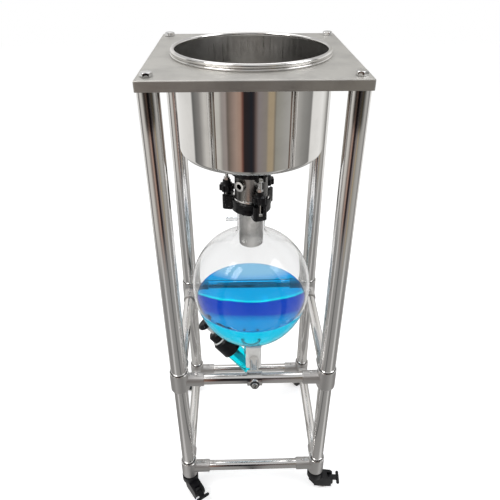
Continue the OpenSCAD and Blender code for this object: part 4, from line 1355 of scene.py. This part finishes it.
@dataclass
class ReceivingFlask:
    """The glass flask with its side arm, barrel and nozzle, and the liquid in it. Sizes are in millimetres.

    Attributes:
        wall: Thickness of the glass.
        neck: Radius of the neck.
        round_radius: Radius of the body.
        round_depth: Depth of its widest circle.
        lower_height: Height of the lower half.
        shoulder: Radius between the neck and the body.
        drain: Radius of the drain neck.
        drain_fillet: Radius between the body and the drain neck.
        valve_depth: Depth of the valve's seat.
        barrel: Radius of the valve's barrel.
        barrel_length: Length of the barrel.
        level: Depth of the liquid's surface.
    """

    wall: float = 4.0
    neck: float = 42.5
    round_radius: float = 190.0
    round_depth: float = 713.0
    lower_height: float = 222.0
    shoulder: float = 32.0
    drain: float = 25.0
    drain_fillet: float = 18.0
    valve_depth: float = 1100.0
    barrel: float = 30.0
    barrel_length: float = 112.0
    level: float = 765.0

    def side(self, inset: float) -> list[Point]:
        """The flask's side as radius and depth, set inwards by an inset.

        Args:
            inset: The distance from the outer face.

        Returns:
            Points from the neck down to the drain neck.
        """
        rs, rb = self.round_radius - inset, self.lower_height - inset
        nr, sr = self.neck - inset, self.shoulder + inset
        hc = self.round_depth - math.sqrt((rs + sr) ** 2 - (nr + sr) ** 2)
        turn = math.degrees(math.asin((nr + sr) / (rs + sr)))
        pole_r = self.round_radius ** 2 / self.lower_height - inset
        pole_h = self.round_depth + self.lower_height - inset - pole_r
        dr, fr = self.drain - inset, self.drain_fillet + inset
        low = math.degrees(math.asin((dr + fr) / (pole_r + fr)))
        fillet_h = pole_h + (pole_r + fr) * math.cos(math.radians(low))
        t_end = math.acos((dr + fr) * pole_r / (pole_r + fr) / rs)
        points = arc(nr + sr, hc, sr, 180, 90 + turn, 14)
        for i in range(1, 37):
            a = math.radians(90 - turn - (90 - turn) * i / 36)
            points.append((rs * math.cos(a), self.round_depth - rs * math.sin(a)))
        for i in range(1, 49):
            a = t_end * i / 48
            points.append((rs * math.cos(a), self.round_depth + rb * math.sin(a)))
        return points + arc(dr + fr, fillet_h, fr, 270 - low, 180, 10)

    def barrel_shell(self, radius: float, top: float, edge: float = 0.0) -> Draft:
        """The valve's barrel with its round seat, as one closed shell.

        Args:
            radius: The shell's radius in metres.
            top: The length along the valve's axis in metres.
            edge: How far its upper edge is eased.

        Returns:
            The shell, standing on the valve's axis.
        """
        seat = [(max(x, 0.0), z) for x, z in arc(0, 0, radius, -90, 0, 24)]
        profile = seat + [(radius, top - edge), (radius - edge, top), (0.0, top)]
        return Draft().turned(profile, DrainValve.frame(), 128)

    def build(self) -> None:
        """Builds the flask and the liquid."""
        self.glass()
        self.liquid()

    def glass(self) -> None:
        """Blows the flask: outer shells are united and the inner ones cut away."""
        w, bottom = self.wall, self.valve_depth + self.drain + 6
        outer = Draft().turned(mm([
            (0, 402.5), (51, 402.5), (52, 403.5), (52, 411.5), (51, 412.5), (self.neck, 412.5), *self.side(0),
            (self.drain, bottom - 10), (self.drain - 2, bottom - 4), (self.drain - 6, bottom - 1),
            (11, bottom + 1.5), (9, bottom + 5), (9, bottom + 37.2), (8.2, bottom + 38), (0, bottom + 38)]),
            steps=192)
        inner = Draft().turned(mm([
            (0, 400.5), (self.neck - w, 400.5), *self.side(w), (self.drain - w, bottom - 14),
            (self.drain - w - 5, bottom - 5), (5, bottom - 2), (5, bottom + 40), (0, bottom + 40)]), steps=192)
        radius, long = self.barrel / 1000, self.barrel_length / 1000
        barrel, hollow = self.barrel_shell(radius, long, 0.001), self.barrel_shell(radius - w / 1000, long + 0.002)
        lying = Matrix.Translation((0, 0, below(0.475))) @ rotation(-90, "Y")
        arm = Draft().turned([
            (0.0, 0.040), (0.005, 0.040), (0.005, 0.0545), (0.0065, 0.0585), (0.005, 0.0590), (0.005, 0.0595),
            (0.0065, 0.0635), (0.005, 0.0640), (0.005, 0.0685), (0.0065, 0.0720), (0.0045, 0.0760),
            (0.0, 0.0760)], lying, 48)
        arm_bore = Draft().turned([(0.0, 0.036), (0.0025, 0.036), (0.0025, 0.080), (0.0, 0.080)], lying, 24)
        joined_solid("flask_work", [outer, barrel, arm], [inner, hollow, arm_bore]).piece(
            "blown_receiving_flask", FLASK_GLASS, nodes=["receiving_flask"], sharp=40)

    def liquid(self) -> None:
        """Fills the flask to its level, with a small climb of the surface at the glass."""
        inset, level = self.wall - 0.1, self.level
        lift = (level - self.round_depth) / (self.lower_height - inset)
        reach = (self.round_radius - inset) * math.sqrt(1 - lift * lift)
        bottom = self.valve_depth + self.drain - 8
        body = Draft().turned(mm([
            (0, level), (reach - 12, level), (reach - 5, level - 0.7), (reach - 2, level - 2.0),
            (reach - 0.1, level - 4.5), (reach, level - 4.5), *(p for p in self.side(inset) if p[1] > level + 1),
            (self.drain - inset, bottom), (0, bottom)]), steps=192)
        barrel = self.barrel_shell((self.barrel - inset) / 1000, 0.098)
        plunger = Draft().turned([
            (0.0, 0.0057), (0.0123, 0.0057), (0.0123, 0.17), (0.0, 0.17)], DrainValve.frame(), 64)
        joined_solid("liquid_work", [body, barrel], [plunger]).piece(
            "blue_filtrate", FILTRATE_BLUE, nodes=["filtrate"], sharp=40)


@dataclass
class DrainValve:
    """The inclined drain valve: screw cap, gland nut, stem and handle.

    Attributes:
        grooves: Number of grip grooves on the cap.
    """

    grooves: int = 18

    @staticmethod
    def frame() -> Matrix:
        """Where the valve's axis stands: its seat, and local Z along the barrel."""
        return Matrix.Translation((0, 0, VALVE_SEAT)) @ rotation(VALVE_BEARING, "Z") @ rotation(90 - VALVE_RISE, "Y")

    def build(self) -> None:
        """Builds the valve's pieces."""
        place, bore = self.frame(), VALVE_BORE
        Draft().turned(softened([(0.0303, 0.100), (0.0355, 0.100), (0.0375, 0.102), (0.0375, 0.156),
                                 (0.0315, 0.164), (bore, 0.164), (bore, 0.1145), (0.0303, 0.1125)], 0.0012),
                       place, 360, hollows(self.grooves, 0.0387, 0.0025, 0.106, 0.150)).piece(
            "ribbed_valve_cap", CAP_PLASTIC, nodes=["valve_cap"])
        Draft().turned(softened([(bore, 0.168), (0.0265, 0.168), (0.0275, 0.169), (0.0275, 0.192),
                                 (0.0205, 0.200), (bore, 0.200)], 0.0012),
                       place, 240, hollows(8, 0.029, 0.004, 0.172, 0.205)).piece(
            "ribbed_gland_nut", CAP_PLASTIC, nodes=["gland_nut"])
        Draft().turned([(0.0, 0.006), (0.004, 0.0066), (0.0058, 0.0086), (0.0112, 0.0168), (0.012, 0.0185),
                        (0.012, 0.0992), (0.0112, 0.1002), (0.009, 0.101), (0.009, 0.2514), (0.0084, 0.252),
                        (0.0, 0.252)], place, 96).piece(
            "white_valve_stem", SEAL_PLASTIC, "stem", ["valve_stem"])
        Draft().turned(softened([(bore, 0.234), (0.018, 0.234), (0.026, 0.240), (0.026, 0.251), (0.021, 0.256),
                                 (0.0, 0.256), (0.0, 0.2523), (bore, 0.2523)], 0.0014),
                       place, 216, hollows(6, 0.032, 0.009, 0.0, 1.0)).piece(
            "fluted_valve_handle", KNOB_PLASTIC, "handle", ["valve_handle"])


@dataclass
class FlaskSupport:
    """The arm on the front bar, its washer and screw, and the soft saddle.

    Attributes:
        place_x: The arm's place, left to right.
        height: The arm's height.
        bar: Radius of the bar that it lies on.
        gap: Gap between the bar and the arm.
        lip: Thickness of the arm in front of the bar.
    """

    place_x: float = 0.004
    height: float = 0.571
    bar: float = 0.017
    gap: float = 0.00015
    lip: float = 0.006

    def build(self) -> None:
        """Builds the support's pieces."""
        refined_copy("support_arm", "polished_support_arm", MIRROR_STEEL, ease=0.0006)
        refined_copy("flask_saddle", "silicone_flask_saddle", SADDLE_SILICONE, ease=0.0012)
        face = -POST_Y - self.bar - self.gap - self.lip
        lying = Matrix.Translation((self.place_x, face, self.height)) @ rotation(90, "X")
        Draft().turned(softened([(0.00415, 0.003), (0.0145, 0.003), (0.0145, 0.006), (0.00415, 0.006)], 0.0006),
                       lying, 72).piece(
            "rubber_clamp_washer", WASHER_RUBBER, nodes=["clamp_washer"])
        Draft().turned([
            (0.0, -0.0059), (0.0036, -0.0059), (0.004, -0.0055), (0.004, 0.0058), (0.0042, 0.0060), (0.0104, 0.0060),
            (0.011, 0.0066), (0.011, 0.0122), (0.0102, 0.0130), (0.0054, 0.0130), (0.0050, 0.0127),
            (0.0050, 0.0090), (0.0, 0.0088)], lying, 72, socket_rule(0.0052, 0.0085)).piece(
            "polished_lock_screw", BOLT_STEEL, nodes=["lock_screw"])


@dataclass(frozen=True)
class PaleBackdrop(Finish):
    """A pale floor that keeps shadows and shows white to the camera.

    Attributes:
        lift: How much the floor is raised towards white where it is looked at.
    """

    lift: float = 0.42

    def wire(self, bench: NodeBench, spot: Socket) -> Socket:
        """Wires a pale diffuse floor."""
        tone = bench.ramp(bench.noise(spot, 3.0, 2.0), [(0.0, (0.93, 0.93, 0.93)), (1.0, (0.95, 0.95, 0.95))])
        return bench.principled({
            "Base Color": tone, "Roughness": 0.7, "Emission Color": (1.0, 1.0, 1.0, 1.0),
            "Emission Strength": bench.math("MULTIPLY", bench.looked_at(), self.lift)})


@dataclass(frozen=True)
class BandedCard(Finish):
    """A reflector that stands round the object and shows bands of light and dark to polished metal.

    Attributes:
        low: The height below which only the ground's bands show.
        high: The height above which only the room's bands show.
        near: How far forward the dark belt starts.
        far: How far forward it is full.
    """

    low: float = 0.30
    high: float = 0.52
    near: float = -0.9
    far: float = -1.4

    def wire(self, bench: NodeBench, spot: Socket) -> Socket:
        """Wires an emission whose colour changes with the bearing from the middle of the stand."""
        parts = bench.add("ShaderNodeSeparateXYZ", {"Vector": spot}).outputs
        turn = bench.remap(bench.math("ARCTAN2", parts["X"], parts["Y"]), -math.pi, math.pi)
        room, ground = (bench.ramp(turn, [((degrees + 180.0) / 360.0, colour) for degrees, colour in bands])
                        for bands in (CARD_BANDS, GROUND_BANDS))
        colour = bench.mix(bench.remap(parts["Z"], self.low, self.high), ground, room)
        dark, clear = (0.16, 0.16, 0.16), (1.0, 1.0, 1.0)
        belt = bench.ramp(bench.remap(parts["Z"], 1.0, 2.0), [
            (0.0, clear), (0.08, clear), (0.12, dark), (0.62, dark), (0.68, clear), (1.0, clear)])
        shown = bench.mix(bench.remap(parts["Y"], self.near, self.far), colour, belt, "MULTIPLY")
        return bench.add("ShaderNodeEmission", {"Color": shown, "Strength": 1.0}).outputs["Emission"]


CARD_BANDS = (
    (-180.0, (0.02, 0.022, 0.028)), (-168.5, (0.03, 0.022, 0.022)), (-166.0, (0.20, 0.09, 0.07)),
    (-163.5, (0.42, 0.28, 0.22)), (-157.5, (0.42, 0.31, 0.255)), (-154.0, (0.36, 0.27, 0.23)),
    (-145.0, (0.17, 0.14, 0.12)), (-142.0, (0.38, 0.33, 0.31)), (-136.0, (0.36, 0.33, 0.31)),
    (-132.0, (0.62, 0.60, 0.56)), (-108.0, (0.66, 0.64, 0.61)), (-98.0, (0.28, 0.27, 0.26)),
    (-85.0, (0.15, 0.15, 0.145)), (-82.0, (0.82, 0.81, 0.79)), (-30.0, (0.90, 0.89, 0.87)),
    (0.0, (0.62, 0.61, 0.60)), (25.0, (0.50, 0.49, 0.46)), (50.0, (0.92, 0.91, 0.89)),
    (82.0, (0.86, 0.85, 0.83)), (85.0, (0.24, 0.235, 0.225)), (102.0, (0.33, 0.325, 0.31)),
    (112.0, (0.46, 0.45, 0.43)), (128.0, (0.43, 0.42, 0.40)), (146.0, (0.34, 0.33, 0.29)),
    (148.0, (0.24, 0.21, 0.17)), (150.5, (0.43, 0.35, 0.24)), (157.0, (0.42, 0.34, 0.23)),
    (160.0, (0.28, 0.25, 0.22)), (171.0, (0.27, 0.24, 0.24)), (175.0, (0.15, 0.11, 0.10)),
    (178.0, (0.03, 0.025, 0.028)),
)


GROUND_BANDS = (
    (-180.0, (0.10, 0.10, 0.10)), (-174.0, (0.30, 0.295, 0.285)), (-146.0, (0.34, 0.335, 0.325)),
    (-140.0, (0.62, 0.61, 0.60)), (-132.0, (0.62, 0.61, 0.60)), (-126.0, (0.30, 0.295, 0.285)),
    (-84.0, (0.26, 0.255, 0.25)), (-80.0, (0.55, 0.545, 0.53)), (-30.0, (0.40, 0.395, 0.38)),
    (30.0, (0.40, 0.395, 0.38)), (80.0, (0.55, 0.545, 0.53)), (84.0, (0.26, 0.255, 0.25)),
    (120.0, (0.30, 0.295, 0.285)), (128.0, (0.66, 0.655, 0.64)), (136.0, (0.66, 0.655, 0.64)),
    (142.0, (0.34, 0.335, 0.325)), (172.0, (0.30, 0.295, 0.285)), (180.0, (0.10, 0.10, 0.10)),
)


@dataclass
class Studio:
    """The floor, the reflector, the lamps, the world and the camera.

    Attributes:
        eye: The camera's place.
        yaw: How far the camera looks to the right of straight back, in radians.
        pitch: How far it looks down, in radians.
        roll: Its roll in radians.
        lens: Its focal length in millimetres on a 36 mm sensor.
        daylight: The strength of the world's plain light.
    """

    eye: Triple = (-0.03911, -1.30095, 1.74162)
    yaw: float = 0.02735
    pitch: float = 0.57748
    roll: float = -0.00064
    lens: float = 35.710
    daylight: float = 0.62

    def build(self) -> None:
        """Sets up everything that isn't the object."""
        self.floor()
        self.reflector()
        self.lamps()
        self.world()
        self.camera()

    def floor(self) -> None:
        """Lays the floor."""
        obj = Draft().loops([[Vector((-6, -6, 0)), Vector((6, -6, 0))], [Vector((-6, 8, 0)), Vector((6, 8, 0))]],
                            wrap=False).loose("pale_floor")
        obj.data.materials.append(PaleBackdrop("floor_white", "").material())

    def reflector(self) -> None:
        """Stands the banded reflector round the object, where only reflections see it."""
        steps = 144
        bearings = [2 * math.pi * k / steps for k in range(steps)]
        profile = ((0.02, 0.0015), (0.46, 0.004), (0.85, 0.10), (1.35, 0.42), (1.68, 0.85), (1.75, 1.3),
                   (1.75, 2.1))
        rings = [[Vector((radius * math.cos(a), radius * math.sin(a), z)) for a in bearings]
                 for radius, z in profile]
        obj = Draft().loops(rings).loose("banded_reflector")
        obj.data.materials.append(BandedCard("banded_card", "").material())
        obj.visible_camera = obj.visible_diffuse = obj.visible_shadow = obj.visible_transmission = False

    def lamps(self) -> None:
        """Hangs soft lamps over and beside the object."""
        for name, spot, aim, size, power, colour in (
                ("soft_key", (-1.6, -1.2, 2.9), (0, 0, 0.9), (1.4, 1.4), 30.0, (1.0, 0.99, 0.97)),
                ("soft_fill", (1.9, -0.6, 2.2), (0, 0, 0.8), (1.2, 1.6), 20.0, (0.97, 0.98, 1.0)),
                ("soft_top", (0.0, 0.9, 3.2), (0, 0, 0.9), (2.2, 1.2), 12.0, (1.0, 1.0, 1.0))):
            data = bpy.data.lights.new(name, "AREA")
            data.shape = "RECTANGLE"
            data.size, data.size_y = size
            data.energy = power
            data.color = colour
            lamp = bpy.data.objects.new(name, data)
            lamp.location = spot
            lamp.rotation_euler = (Vector(aim) - Vector(spot)).to_track_quat("-Z", "Y").to_euler()
            bpy.context.scene.collection.objects.link(lamp)

    def world(self) -> None:
        """Sets a plain pale world that shows white where it is looked at."""
        world = bpy.data.worlds.new("pale_world")
        world.use_nodes = True
        world.node_tree.nodes.clear()
        bench = NodeBench(world.node_tree)
        lift = 1.0 - self.daylight
        strength = bench.math("ADD", bench.math("MULTIPLY", bench.looked_at(), lift), self.daylight)
        sky = bench.add("ShaderNodeBackground", {"Color": (1.0, 1.0, 1.0, 1.0), "Strength": strength})
        bench.add("ShaderNodeOutputWorld", {"Surface": sky.outputs["Background"]})
        bpy.context.scene.world = world

    def camera(self) -> None:
        """Places the camera at the photograph's viewpoint."""
        data = bpy.data.cameras.new("photo_camera")
        data.sensor_fit = "HORIZONTAL"
        data.sensor_width = 36.0
        data.lens = self.lens
        data.clip_end = 50.0
        camera = bpy.data.objects.new("photo_camera", data)
        camera.matrix_world = (Matrix.Translation(self.eye) @ Matrix.Rotation(-self.yaw, 4, "Z")
                               @ Matrix.Rotation(math.pi / 2 - self.pitch, 4, "X")
                               @ Matrix.Rotation(self.roll, 4, "Z"))
        bpy.context.scene.collection.objects.link(camera)
        bpy.context.scene.camera = camera


def main() -> None:
    """Builds the stand, piece by piece, and the studio round it."""
    logging.basicConfig(level=logging.INFO, format="%(name)s: %(message)s")
    scene = bpy.context.scene
    scene.view_settings.view_transform = "Standard"
    for part in (TopPlate(), TubeFrame(), Casters(), FilterBowl(), ClampCoupling(), ReceivingFlask(),
                 DrainValve(), FlaskSupport(), Studio()):
        log.info("building %s", type(part).__name__)
        part.build()


if __name__ == "__main__":
    main()
